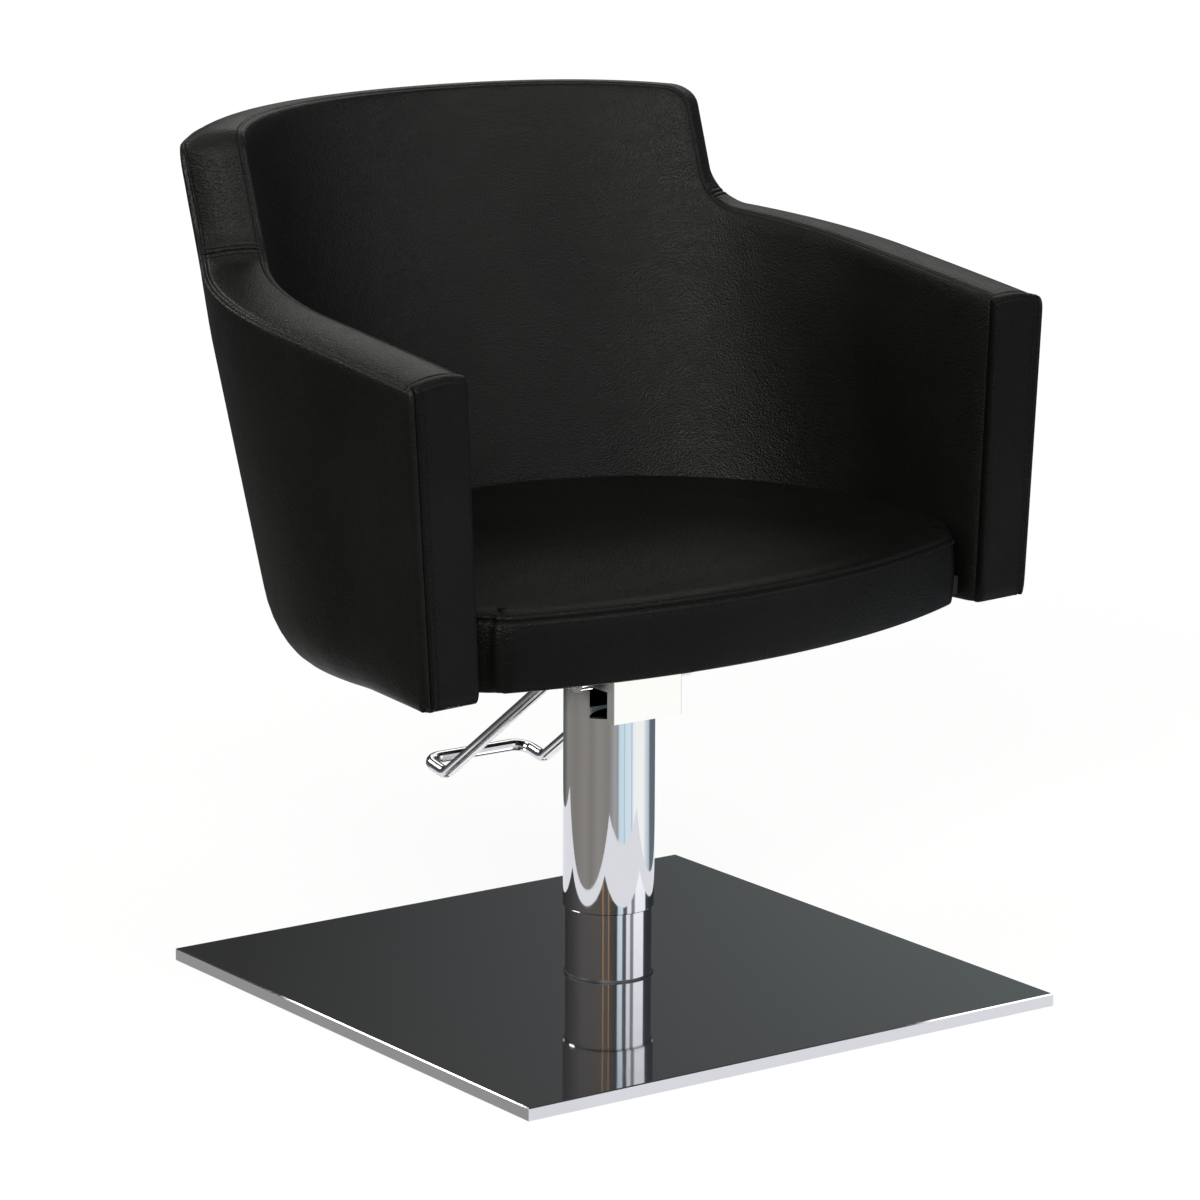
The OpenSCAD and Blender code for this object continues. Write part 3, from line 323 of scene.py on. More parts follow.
CAD_FINISHES = {
    "base_mat": rubber, "base_core": steel, "base_cover": chrome_plate, "foot_screws": steel,
    "cylinder_foot": steel, "pump_cylinder": steel, "guide_tube": chrome, "cylinder_gland": bronze,
    "wiper_seal": rubber, "ram": chrome, "piston": steel, "piston_seal": rubber, "sleeve": chrome,
    "pump_head": chrome_head, "front_housing": chrome_front, "housing_screws": oiled_steel,
    "thrust_washer": bronze, "plunger_spring": oiled_steel, "pump_plunger": oiled_steel,
    "foot_lever": chrome_rod, "lever_shaft": chrome_rod, "lever_cam": oiled_steel,
    "shaft_screws": steel, "seat_bracket": paint, "spindle_ring": steel, "bracket_bolts": steel,
    "seat_board": cloth, "shell_frame": cloth, "shell_bolts": steel,
}
for node_name, finish in CAD_FINISHES.items():
    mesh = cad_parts[node_name].data
    mesh.materials.clear()
    mesh.materials.append(finish)
# The photograph shows no reflection of the lever in the plate and the tubes
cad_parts["foot_lever"].visible_glossy = False

# ---------------------------------------------------------------- shell shape (millimetres)

SHELL_BOTTOM, ARM_TOP, ARM_RISE, BACK_TOP = 327.0, 594.8, math.radians(9.2), 755.0
SHELL_FRONT = 158.0
HALF_IN, HALF_OUT = (285.0, 297.0), (342.0, 359.0)
DEPTH_IN, DEPTH_OUT = 248.0, 298.0
BACK_START, LEAN = 42.0, math.tan(math.radians(14.5))
STEP_AT, STEP_R, STEP_LEAN, CORNER_R = 321.5, 34.0, math.radians(3.1), 20.0
FALL_ARM, FALL_BACK = 5.0, 10.5
HEM_IN, HEM_H = 24.0, 46.0
ARM_LEN = SHELL_FRONT + BACK_START - LEAN * (BACK_TOP - ARM_TOP)
BACK_LEN = 0.785 * (HALF_IN[1] + DEPTH_IN)
PATH_LEN = ARM_LEN + BACK_LEN
RISE = math.tan(ARM_RISE)


def mix(a, b, t):
    return a + (b - a) * t


def smooth(t):
    t = np.clip(t, 0, 1)
    return t * t * (3 - 2 * t)


def hem_cut(z):
    """How far the outer cover turns in towards the bottom."""
    h = np.clip((z - SHELL_BOTTOM) / HEM_H, 0, 1)
    return HEM_IN * (1 - np.sqrt(np.clip(1 - (1 - h) ** 2, 0, 1)))


def shell(s, z, w, d=0.0):
    """Points of the shell: s along it from the arm front, height z, w from 0 inside to 1 outside,
    drawn in by d towards the middle of its thickness."""
    s, z, w, d = np.broadcast_arrays(*[np.asarray(v, float) for v in (s, z, w, d)])
    up = (z - SHELL_BOTTOM) / (ARM_TOP - SHELL_BOTTOM)
    hem = hem_cut(z) * np.clip(s / ARM_LEN, 0, 1)
    side = d * np.clip(2 * w - 1, -1, 1)
    a = mix(mix(HALF_IN[0], HALF_IN[1], up), mix(HALF_OUT[0], HALF_OUT[1], up) - hem, w) - side
    b = mix(DEPTH_IN, DEPTH_OUT - hem, w) - side
    y0 = BACK_START - LEAN * (BACK_TOP - z)
    q = np.clip((s - ARM_LEN) / BACK_LEN, 0, 1) * math.pi / 2
    x = a * np.cos(q)
    y = np.where(s <= ARM_LEN, mix(-SHELL_FRONT, y0, s / ARM_LEN), y0 + b * np.sin(q))
    return np.stack([x, y, z], -1)


def rim_curve():
    """The rim on the developed shell, from the arm front to the middle of the back."""
    step, end = 2.0, math.pi / 2 - STEP_LEAN
    arm_end = STEP_AT - STEP_R * (math.sin(end) - math.sin(ARM_RISE))
    z1 = ARM_TOP + RISE * arm_end
    pts = [(s, ARM_TOP + RISE * s) for s in np.arange(0, arm_end - 0.5, step)]
    f = np.linspace(ARM_RISE, end, 40)
    pts += list(zip(arm_end + STEP_R * (np.sin(f) - math.sin(ARM_RISE)),
                    z1 + STEP_R * (math.cos(ARM_RISE) - np.cos(f))))
    drop = CORNER_R * 0.25
    zc = BACK_TOP - CORNER_R - drop
    low, high = pts[-1][1], zc + CORNER_R * math.cos(end)
    pts += [(STEP_AT + math.tan(STEP_LEAN) * (z - low), z) for z in np.arange(low + step, high, step)]
    sc = STEP_AT + math.tan(STEP_LEAN) * (high - low) + CORNER_R * math.sin(end)
    f = np.linspace(end, 0, 24)
    pts += list(zip(sc - CORNER_R * np.sin(f), zc + CORNER_R * np.cos(f)))
    for s in np.linspace(sc, PATH_LEN, 120)[1:]:
        pts.append((s, BACK_TOP - drop * (1 - (s - sc) / (PATH_LEN - sc)) ** 4))
    return np.array(pts), arm_end, sc


RIM, ARM_END, CORNER_S = rim_curve()
RUN = np.concatenate([[0], np.cumsum(np.linalg.norm(np.diff(RIM, axis=0), axis=1))])
TURN_START = RUN[np.argmin(np.abs(RIM[:, 0] - ARM_END))]
CORNER_END = RUN[np.argmax(RIM[:, 0] >= CORNER_S - 0.01)]
TURN_LEN = STEP_R * (math.pi / 2 - STEP_LEAN - ARM_RISE)
# Seam between arm and back, a little past the middle of the turn
BACK_SEAM = TURN_START + 0.56 * TURN_LEN


def rim_at(run):
    """Rim point, normal into the panel and fall across the strip, at a distance along the rim."""
    run = np.asarray(run, float)
    p = np.stack([np.interp(run, RUN, RIM[:, k]) for k in (0, 1)], -1)
    a = np.stack([np.interp(run - 4, RUN, RIM[:, k]) for k in (0, 1)], -1)
    b = np.stack([np.interp(run + 4, RUN, RIM[:, k]) for k in (0, 1)], -1)
    t = (b - a) / np.linalg.norm(b - a, axis=-1, keepdims=True)
    t = np.where((run > RUN[-1] - 4)[..., None], np.array([1.0, 0.0]), t)
    fall = mix(FALL_ARM, FALL_BACK, np.clip((run - TURN_START) / TURN_LEN, 0, 1))
    return p, np.stack([t[..., 1], -t[..., 0]], -1), fall


def on_rim(run, w, out, d=0.0):
    """Point over the rim at share w of the thickness, standing out by out, drawn in by d."""
    p, n, fall = rim_at(run)
    v = p + n * (fall * w - out)[..., None]
    s = np.where(run >= RUN[-1] - 0.01, PATH_LEN, np.clip(v[..., 0], 0, PATH_LEN))
    return shell(s, v[..., 1], w, d)


def solid(name, rings, material):
    """A closed mesh through rings of points, each an array of the same length (millimetres)."""
    rings = np.asarray(rings, float)
    m, n = rings.shape[:2]
    faces = []
    for i in range(m - 1):
        for j in range(n):
            a, b = i * n + j, i * n + (j + 1) % n
            faces.append((a, b, b + n, a + n))
    for i in (0, m - 1):
        for j in range(n // 2 - 1):
            f = (i * n + j, i * n + n - 1 - j, i * n + n - 2 - j, i * n + j + 1)
            faces.append(f if i == 0 else f[::-1])
    return mesh_from(name, rings.reshape(-1, 3), faces, material)


def mesh_from(name, pts, faces, material, body="seat"):
    """A piece from points in millimetres, with its faces turned outwards."""
    mesh = bpy.data.meshes.new(name)
    mesh.from_pydata([tuple(p) for p in np.asarray(pts) * MM], [], faces)
    bm = bmesh.new()
    bm.from_mesh(mesh)
    bmesh.ops.remove_doubles(bm, verts=bm.verts, dist=1e-5)
    bmesh.ops.recalc_face_normals(bm, faces=bm.faces)
    bm.to_mesh(mesh)
    bm.free()
    mesh.shade_smooth()
    mesh.materials.append(material)
    obj = put(name, mesh)
    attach(obj, body)
    return obj


def both(run_points):
    """Runs along the left half and back along the right half, as (run, side) pairs."""
    runs = list(run_points)
    return [(r, -1) for r in runs] + [(r, 1) for r in runs[::-1][1:]]


def edge_distance(s, z):
    """Distance of points of the developed shell from the rim."""
    best = np.full(s.shape, 1e9)
    a, b = RIM[:-1], RIM[1:]
    ab = b - a
    for k in range(len(a)):
        t = np.clip(((s - a[k, 0]) * ab[k, 0] + (z - a[k, 1]) * ab[k, 1]) / (ab[k] @ ab[k]), 0, 1)
        best = np.minimum(best, np.hypot(s - a[k, 0] - t * ab[k, 0], z - a[k, 1] - t * ab[k, 1]))
    return best


def foot_run(run):
    """Where the column that starts at this place of the rim meets the bottom."""
    places = [0, ARM_END, mix(CORNER_S, PATH_LEN, 0.3), PATH_LEN]
    return np.interp(run, [0, TURN_START, CORNER_END, RUN[-1]], places)


# Share of the thickness at which the facing meets the wrapped cover, and how far the wrap stands
# out in front at each share; length of the wrap and radius of its lower corner
WRAP, WRAP_LEN, LOW_CORNER = 0.9, 12.0, 9.0
WRAP_SECTION = ((WRAP, 6.2), (WRAP + 0.004, 7.4), (WRAP + 0.02, 8.5), (WRAP + 0.045, 8.6),
                (0.972, 7.6), (0.99, 5.6), (1.0, 3.0))
# Distance of the stitches from their seam: on the strips, on the outer side of the facings and on
# the cushion
ROW, SIDE_ROW, SEAT_ROW = 3.9, 6.4, 4.6
# Groove under a row of stitches: depth and width; swell between the row and the seam
GROOVE_DEEP, GROOVE_WIDE, BEAD = 0.75, 0.8, 0.45
# Rim strip: width, height and width of the lip at its seams, height of its edge and its crown, tuck
# of its ends, how far it is drawn in at the seams
STRIP_MM, LIP, LIP_WIDE, EDGE, STRIP_TALL, END_TUCK, SEAM_IN = 58.0, 2.3, 2.8, -1.9, 6.9, 2.4, 3.8
HALF_W = np.array([0, 0.12, 0.3, 0.6, 0.95, 1.35, 1.8, 2.3, 2.8, 3.2, 3.55, 3.9, 4.25, 4.6, 5.0,
                   5.6, 6.6, 8.2, 10.5, 14.0, 19.0, 24.5]) / STRIP_MM
STRIP_W = np.concatenate([HALF_W, [0.5], 1 - HALF_W[::-1]])
# Padded panels: places of the points from the seam down, and how deep the swell takes to rise
PANEL_MM, SWELL_MM = 330, 60
NEAR = np.array([0, 0.25, 0.6, 1.1, 1.7, 2.3, 3.2, 4.4, 6, 8.5, 12, 16, 22, 32]) / PANEL_MM
PANEL_ROWS = np.concatenate([NEAR, np.linspace(0.14, 0.9, 22),
                             np.array([0.93, 0.955, 0.975, 0.988, 0.996, 1.0])])
PANEL_RUNS = np.unique(np.concatenate([
    np.array([0, 0.8, 1.6, 2.6, 4, 6, 9, 13, 18]), np.linspace(24, TURN_START, 26),
    np.linspace(TURN_START, CORNER_END, 60), np.linspace(CORNER_END, RUN[-1], 46)]))
# Facing: height, width and depth
FACING_H, FACING_W, FACING_D = 268.0, 55.0, 9.0


def panel_grid(w, runs, rows):
    """Grid of developed points from the rim down to the bottom, one column per run."""
    p, n, fall = rim_at(runs)
    top = p + n * (fall * w)[:, None]
    top[:, 0] = np.where(runs >= RUN[-1] - 0.01, PATH_LEN, np.clip(top[:, 0], 0, PATH_LEN))
    low = np.stack([foot_run(runs), np.full(len(runs), SHELL_BOTTOM)], -1)
    return top[:, None] * (1 - rows[None, :, None]) + low[:, None] * rows[None, :, None]


def roll_in(d, r, share=0.5):
    """How far a padded edge rolls in at distance d from its seam."""
    k = np.clip(1 - d / r, 0, 1)
    return r * share * (1 - np.sqrt(np.clip(1 - k * k, 0, 1)))


def seam_roll(d):
    """A tight tuck at the seam, followed by the soft round of the padding."""
    return roll_in(d, 2.0, 0.8) + roll_in(d, 15.0, 0.17)


def stitch_groove(mm):
    """Depth of the groove that a row of stitches pulls into the cover, at a distance from it."""
    return GROOVE_DEEP * np.exp(-(mm / GROOVE_WIDE) ** 2)


def bead(mm, row):
    """Swell of the cover between a seam and its row of stitches."""
    return BEAD * np.sin(np.pi * np.clip(mm / row, 0, 1)) ** 2


def strip_section(w, tall, edge):
    """Crowned section: a tight lip at each seam, the crown, and a groove under each stitch row."""
    mm = np.minimum(w, 1 - w) * STRIP_MM
    lip = LIP * np.sqrt(np.clip(1 - (1 - mm / LIP_WIDE).clip(0) ** 2, 0, 1))
    crown = (tall - LIP) * (1 - np.abs(2 * w - 1) ** 2.3)
    return edge + lip + crown + bead(mm, ROW) - stitch_groove(mm - ROW)


def panel(name, w_skin, w_back, material, bulge, low_roll):
    """Padded panel between the rim, the arm fronts and the lower edge of the shell: its skin at
    share w_skin of the thickness (0 inside, 1 outside) and its rear at w_back."""
    g = panel_grid(w_skin, PANEL_RUNS, PANEL_ROWS)
    s, z = g[..., 0], g[..., 1]
    rim_d = np.linalg.norm(g - g[:, :1, :], axis=-1)
    if w_skin == 0:
        rim_d, front_d = np.minimum(edge_distance(s, z), rim_d), s
        d = seam_roll(rim_d) + (seam_roll(front_d) + roll_in(front_d, 26.0, 0.12))
    else:
        front_d = s + WRAP_LEN
        d = seam_roll(rim_d) + roll_in(front_d, 7.0)
    low = z - SHELL_BOTTOM
    d += low_roll * roll_in(low, 10.0)
    d -= bulge * smooth(rim_d / SWELL_MM) * smooth(front_d / SWELL_MM) * smooth(low / SWELL_MM)
    back = panel_grid(w_back, PANEL_RUNS, PANEL_ROWS)
    rings = []
    for side in (-1, 1):
        skin = shell(s, z, w_skin, d) * np.array([side, 1, 1])
        rear = shell(back[..., 0], back[..., 1], w_back) * np.array([side, 1, 1])
        if w_skin == 1:
            # The front edge of the outer cover is wrapped round the arm, up to the seam of the facing
            wrap = []
            for w, fore in WRAP_SECTION:
                p = shell(0, z[0], w, d[0] * (w - WRAP) / (1 - WRAP))
                p[:, 1] -= fore * (1 - 0.7 * roll_in(rim_d[0], 9.0) / 4.5)
                p[:, 2] += (strip_section(w, STRIP_TALL, EDGE) - EDGE - 1.4) * np.exp(-rim_d[0] / 8)
                p[:, 2] += roll_in((1 - w) * STRIP_MM, LOW_CORNER, 1.0) * np.clip(1 - low[0] / 16, 0, 1)
                wrap.append(p * np.array([side, 1, 1]))
            skin = np.concatenate([wrap, skin])
            root = shell(0, back[0, :, 1], WRAP - 0.004)
            root[:, 1] -= 0.2
            rear = np.concatenate([np.repeat([root * np.array([side, 1, 1])], len(wrap), 0), rear])
        ring = np.concatenate([skin, rear[:, ::-1]], axis=1)
        rings.append(ring if side < 0 else ring[::-1][1:])
    return solid(name, np.concatenate(rings), material)


def rim_strip(name, runs, round_start, round_end, material):
    """Crowned band over the rim, tucked into the seams on both sides."""
    low_w = STRIP_W[::-1][2:-2:3]
    rings = []
    for run, side in runs:
        tuck, row = 1.0, 0.0
        for place in (round_start, round_end):
            if place is not None:
                far = abs(run - place)
                tuck = min(tuck, math.sqrt(max(0, 1 - (1 - min(1, far / 1.8)) ** 2)))
                row = max(row, stitch_groove(far - ROW) if place > 0 else 0)
        r = np.full(STRIP_W.shape, run)
        lift = strip_section(STRIP_W, STRIP_TALL, EDGE)
        drop = np.minimum(END_TUCK * (1 - tuck) + row, lift - EDGE)
        top = on_rim(r, STRIP_W, lift - drop, SEAM_IN)
        r = np.full(low_w.shape, run)
        low = on_rim(r, low_w, np.full(low_w.shape, -2.6), SEAM_IN)
        rings.append(np.concatenate([top, low]) * np.array([side, 1, 1]))
    return solid(name, rings, material)


def fine_runs(a, b):
    """Places along the rim from a to b, close together at both ends."""
    near = np.array([0, 0.15, 0.4, 0.8, 1.3, 1.8, 2.4, 3.0, 3.4, 3.9, 4.4, 4.9, 5.6, 7.0])
    inner = np.arange(a + 10, b - 10, 3.0)
    return np.unique(np.concatenate([a + near, inner, b - near]))


def facing_point(k, v, side, tall=0.0):
    """Point of the padded front end of an arm: k down its height, v across it, from the inner edge."""
    k, v = np.broadcast_arrays(np.asarray(k, float), np.asarray(v, float))
    w = v * WRAP
    rim_d, low_d, in_d, out_d = k * FACING_H, (1 - k) * FACING_H, v * FACING_W, (1 - v) * FACING_W
    face = FACING_D - roll_in(rim_d, 6.5, 0.9) - roll_in(low_d, 12.0)
    face = face - roll_in(in_d, 5.0, 0.7) - roll_in(out_d, 4.0, 0.7)
    face -= stitch_groove(rim_d - ROW) * (out_d > 3) + stitch_groove(out_d - SIDE_ROW) * (rim_d > 3)
    face -= stitch_groove(in_d - ROW) * (rim_d > 3)
    face += bead(rim_d, ROW) + (bead(out_d, SIDE_ROW) + bead(in_d, ROW)) * (rim_d > ROW)
    mm = w * STRIP_MM
    crown = strip_section(w, STRIP_TALL, EDGE) + stitch_groove(mm - ROW) - bead(mm, ROW)
    z = mix(RIM[0, 1] - 0.5 - FALL_ARM * w + crown, SHELL_BOTTOM, k)
    p = shell(np.zeros(w.shape), z, w, 0.0)
    p[..., 0] += 1.2 * np.exp(-(in_d / 3) ** 2)
    p[..., 1] = -SHELL_FRONT - 0.5 - np.maximum(face + tall, 0.4)
    return p * np.array([side, 1, 1])


def facing(name, side, material):
    """Padded front end of an arm."""
    near = np.array([0, 0.25, 0.6, 1.1, 1.7, 2.4, 3.0, 3.5, 3.9, 4.3, 4.8, 5.4, 6.0, 6.4, 6.8, 7.4,
                     8.6, 10.5, 14.0])
    vs = np.unique(np.concatenate([near / FACING_W, 1 - near / FACING_W, np.linspace(0.28, 0.72, 8)]))
    ks = np.unique(np.concatenate([near / FACING_H, np.linspace(0.07, 0.93, 26), 1 - near / FACING_H]))
    rings = []
    for k in ks:
        front = facing_point(k, vs, side)
        rear = front[::-1].copy()
        rear[:, 1] = -SHELL_FRONT - 0.5
        rings.append(np.concatenate([front, rear]))
    return solid(name, rings, material)


# ---------------------------------------------------------------- cushion shape (millimetres)

SEAT_FRONT_Z, SEAT_LOW_Z, SEAT_HALF, SEAT_CORNER = 390.0, 329.0, 262.0, 160.0
SEAT_BOW, SEAT_CORNER_R, SEAT_CROWN, SEAT_GAP = 52.0, 9.0, 15.0, 1.6
SEAT_SLOPE = math.tan(math.radians(3))
SEAT_TALL = SEAT_FRONT_Z - SEAT_LOW_Z
# Where the roll above the seam ends: how far in and how far above the seam
ROLL_IN, ROLL_UP = 14.0, 6.1
FRONT_R = (SEAT_HALF ** 2 + SEAT_BOW ** 2) / (2 * SEAT_BOW)


def seat_front_y(x):
    """The bowed front of the cushion."""
    return -SEAT_CORNER - SEAT_BOW + FRONT_R - np.sqrt(FRONT_R ** 2 - x * x)


def seat_outline(z, d):
    """Outline of the cushion at height z, drawn in by d, starting at the middle of the front."""
    r, x1, y1 = SEAT_CORNER_R, SEAT_HALF - SEAT_CORNER_R, BACK_START - LEAN * (BACK_TOP - z)
    up = (z - SHELL_BOTTOM) / (ARM_TOP - SHELL_BOTTOM)
    wide = mix(HALF_IN[0], HALF_IN[1], up) - SEAT_GAP
    pts = []
    for i in range(41):
        x = x1 * i / 40
        pts.append((x, seat_front_y(x) + d))
    for i in range(1, 9):
        q = math.radians(11.25 * i)
        pts.append((x1 + (r - d) * math.sin(q), -SEAT_CORNER + r - (r - d) * math.cos(q)))
    for i in range(1, 31):
        k = i / 30
        x = mix(SEAT_HALF, wide, 1 - (1 - min(1, k * 1.6)) ** 3) - d
        pts.append((x, mix(-SEAT_CORNER + r, y1, k)))
    for i in range(1, 41):
        q = math.pi / 2 * i / 40
        a, b = wide - d, DEPTH_IN - SEAT_GAP - d
        pts.append((0 if i == 40 else a * math.cos(q), y1 + b * math.sin(q)))
    half = np.array(pts)
    return np.concatenate([half, half[1:-1][::-1] * np.array([-1, 1])])


def seat_edge_z(y):
    """Height of the seam round the cushion."""
    return SEAT_FRONT_Z + SEAT_SLOPE * np.maximum(0, y + SEAT_CORNER)


SEAT_MID_Y = (-SEAT_CORNER - SEAT_BOW + BACK_START - LEAN * (BACK_TOP - SEAT_FRONT_Z) + DEPTH_IN) / 2
# Side wall and the roll above the seam: (share of the height, depth drawn in)
SEAT_WALL = [(0.0, 9.0), (0.0, 6.0), (0.01, 4.0), (0.03, 2.2), (0.06, 1.0), (0.12, 0.2),
             (0.25, -0.7), (0.45, -1.2), (0.65, -0.9), (0.8, -0.2), (0.88, 0.5), (0.93, 1.4),
             (0.955, 2.3), (0.965, 3.2), (0.975, 4.0)]
SEAT_ROLL = [(0.985, 3.1), (1.0, 2.6), (1.02, 2.8), (1.045, 3.7), (1.06, 5.2), (1.075, 7.4),
             (1.09, 10.4), (1.1, ROLL_IN)]


def seat_cushion_piece(material):
    """The crowned seat cushion: rings up its side, over the roll and in to the middle."""
    rings = []
    for k, d in SEAT_WALL + SEAT_ROLL:
        o = seat_outline(mix(SEAT_LOW_Z, SEAT_FRONT_Z, min(k, 1)), d)
        top = seat_edge_z(o[:, 1])
        z = SEAT_LOW_Z + (top - SEAT_LOW_Z) * min(k, 1) + max(0, k - 1) * SEAT_TALL
        rings.append(np.column_stack([o, z]))
    edge = rings[-1]
    # The corners are rounded more and more towards the middle, so that their creases end soon
    soft = edge.copy()
    for _ in range(80):
        soft = (np.roll(soft, 1, 0) + 2 * soft + np.roll(soft, -1, 0)) / 4
    outline = seat_outline(SEAT_FRONT_Z, ROLL_IN)
    side_line = outline[(outline[:, 1] > -SEAT_CORNER + 12) & (np.abs(outline[:, 0]) > 0)]
    for c in np.linspace(0, 1, 40)[1:-1]:
        near = mix(edge, soft, min(1.0, c * 6))
        x, y = near[:, 0] * (1 - c), mix(near[:, 1], SEAT_MID_Y, c)
        front_d = y - seat_front_y(x) - ROLL_IN
        side_d = np.hypot(x[:, None] - side_line[:, 0], y[:, None] - side_line[:, 1]).min(1)
        swell = smooth(front_d / 150) * smooth(side_d / 170)
        rings.append(np.column_stack([x, y, seat_edge_z(y) + ROLL_UP + (SEAT_CROWN - ROLL_UP) * swell]))
    m, n = len(rings), len(edge)
    poles = [[0, SEAT_MID_Y, SEAT_LOW_Z + 0.5], [0, SEAT_MID_Y, rings[-1][:, 2].mean()]]
    pts = np.concatenate(rings + [poles])
    faces = [(i * n + j, i * n + (j + 1) % n, (i + 1) * n + (j + 1) % n, (i + 1) * n + j)
             for i in range(m - 1) for j in range(n)]
    faces += [(m * n, (j + 1) % n, j) for j in range(n)]
    faces += [(m * n + 1, (m - 1) * n + j, (m - 1) * n + (j + 1) % n) for j in range(n)]
    return mesh_from("seat_cushion_cover", pts, faces, material)


# ---------------------------------------------------------------- dark ring at the foot of the tube (painted shade)

GUIDE_R, PLATE_TOP = 37.85, 11.5
# Radius of the ring's section, gap to the tube, points round the tube and round the section
FOOT_RING, RING_GAP, RING_STEPS, RING_SIDES = 1.0, 0.3, 96, 12


def foot_shade_ring(material):
    """Thin dark steel ring round the foot of the guide tube, sunk a little into the plate; it stands in
    for the line of shade where the tube meets the plate.
    """
    turn = np.linspace(0, 2 * math.pi, RING_STEPS + 1)[:-1, None]
    section = np.linspace(0, 2 * math.pi, RING_SIDES + 1)[None, :-1]
    reach = GUIDE_R + RING_GAP + FOOT_RING * np.cos(section)
    rise = PLATE_TOP + FOOT_RING * (0.7 + np.sin(section)) + 0 * turn
    ring = np.stack([reach * np.cos(turn), reach * np.sin(turn), rise], -1)
    faces = []
    for i in range(RING_STEPS):
        for j in range(RING_SIDES):
            a, b = i * RING_SIDES, (i + 1) % RING_STEPS * RING_SIDES
            k = (j + 1) % RING_SIDES
            faces.append((a + j, b + j, b + k, a + k))
    mesh_from("foot_shade_ring", ring.reshape(-1, 3), faces, material, "base")


# ---------------------------------------------------------------- stitches

# Distance from stitch to stitch, length and thickness of one, in metres
STITCH = {"Pitch": 0.0042, "Stitch length": 0.0029, "Thread": 0.0011}


def stitch_tree():
    """Geometry Nodes: one rounded stitch at each step along every seam line."""
    tree = bpy.data.node_groups.new("stitch_rows", "GeometryNodeTree")
    tree.interface.new_socket("Geometry", in_out="INPUT", socket_type="NodeSocketGeometry")
    for label, value in STITCH.items():
        sock = tree.interface.new_socket(label, in_out="INPUT", socket_type="NodeSocketFloat")
        sock.default_value = value
    tree.interface.new_socket("Finish", in_out="INPUT", socket_type="NodeSocketMaterial")
    tree.interface.new_socket("Geometry", in_out="OUTPUT", socket_type="NodeSocketGeometry")
    add, link = tree.nodes.new, tree.links.new
    gin, gout = add("NodeGroupInput"), add("NodeGroupOutput")
    points = add("GeometryNodeCurveToPoints")
    points.mode = "LENGTH"
    link(gin.outputs["Geometry"], points.inputs["Curve"])
    link(gin.outputs["Pitch"], points.inputs["Length"])
    ball = add("GeometryNodeMeshUVSphere")
    ball.inputs["Segments"].default_value = 6
    ball.inputs["Rings"].default_value = 4
    ball.inputs["Radius"].default_value = 1.0
    size = add("ShaderNodeCombineXYZ")
    for label, axes in (("Stitch length", "Z"), ("Thread", "XY")):
        half = add("ShaderNodeMath")
        half.operation = "MULTIPLY"
        half.inputs[1].default_value = 0.5
        link(gin.outputs[label], half.inputs[0])
        for axis in axes:
            link(half.outputs[0], size.inputs[axis])
    place = add("GeometryNodeInstanceOnPoints")
    link(points.outputs["Points"], place.inputs["Points"])
    link(ball.outputs["Mesh"], place.inputs["Instance"])
    link(points.outputs["Rotation"], place.inputs["Rotation"])
    link(size.outputs[0], place.inputs["Scale"])
    real = add("GeometryNodeRealizeInstances")
    link(place.outputs["Instances"], real.inputs["Geometry"])
    finish = add("GeometryNodeSetMaterial")
    link(real.outputs["Geometry"], finish.inputs["Geometry"])
    link(gin.outputs["Finish"], finish.inputs["Material"])
    link(finish.outputs["Geometry"], gout.inputs["Geometry"])
    return tree


def stitch_rows(name, lines):
    """Stitches along seam lines (millimetres), as one plain mesh."""
    curve = bpy.data.curves.new(name + "_lines", "CURVE")
    curve.dimensions = "3D"
    for line in lines:
        spline = curve.splines.new("POLY")
        spline.points.add(len(line) - 1)
        weighted = np.column_stack([np.asarray(line) * MM, np.ones(len(line))])
        spline.points.foreach_set("co", weighted.ravel())
    rail = put(name + "_rail", curve)
    tree = bpy.data.node_groups.get("stitch_rows") or stitch_tree()
    mod = rail.modifiers.new("stitches", "NODES")
    mod.node_group = tree
    ids = {i.name: i.identifier for i in tree.interface.items_tree if i.in_out == "INPUT"}
    for label, value in STITCH.items():
        mod[ids[label]] = value
    mod[ids["Finish"]] = thread
    bpy.context.view_layer.update()
    depsgraph = bpy.context.evaluated_depsgraph_get()
    mesh = bpy.data.meshes.new_from_object(rail.evaluated_get(depsgraph))
    mesh.name = name
    bpy.data.objects.remove(rail)
    mesh.shade_smooth()
    obj = put(name, mesh)
    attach(obj, "seat")
    return obj


def rim_line(a, b, w, side):
    """A seam line along the rim from a to b, at share w of the strip."""
    runs = np.arange(a, b, 2.0)
    ws = np.full(runs.shape, w)
    out = strip_section(ws, STRIP_TALL, EDGE) + 0.1
    return on_rim(runs, ws, out, SEAM_IN) * np.array([side, 1, 1])


def across_line(run, side, off):
    """A seam line across the rim, at a distance from the seam between arm and back."""
    ws = np.linspace(0.07, 0.93, 24)
    runs = np.full(ws.shape, run + off)
    out = strip_section(ws, STRIP_TALL, EDGE) - 0.45
    return on_rim(runs, ws, out, SEAM_IN) * np.array([side, 1, 1])


# ---------------------------------------------------------------- build

make_camera()

inner = panel("inner_cover", 0, 0.40, leather_pulled_shaded, 1.5, 0.2)
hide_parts("inner_pad")
outer = panel("outer_cover", 1, 0.73, leather, 2.0, 0.6)
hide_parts("outer_panel")

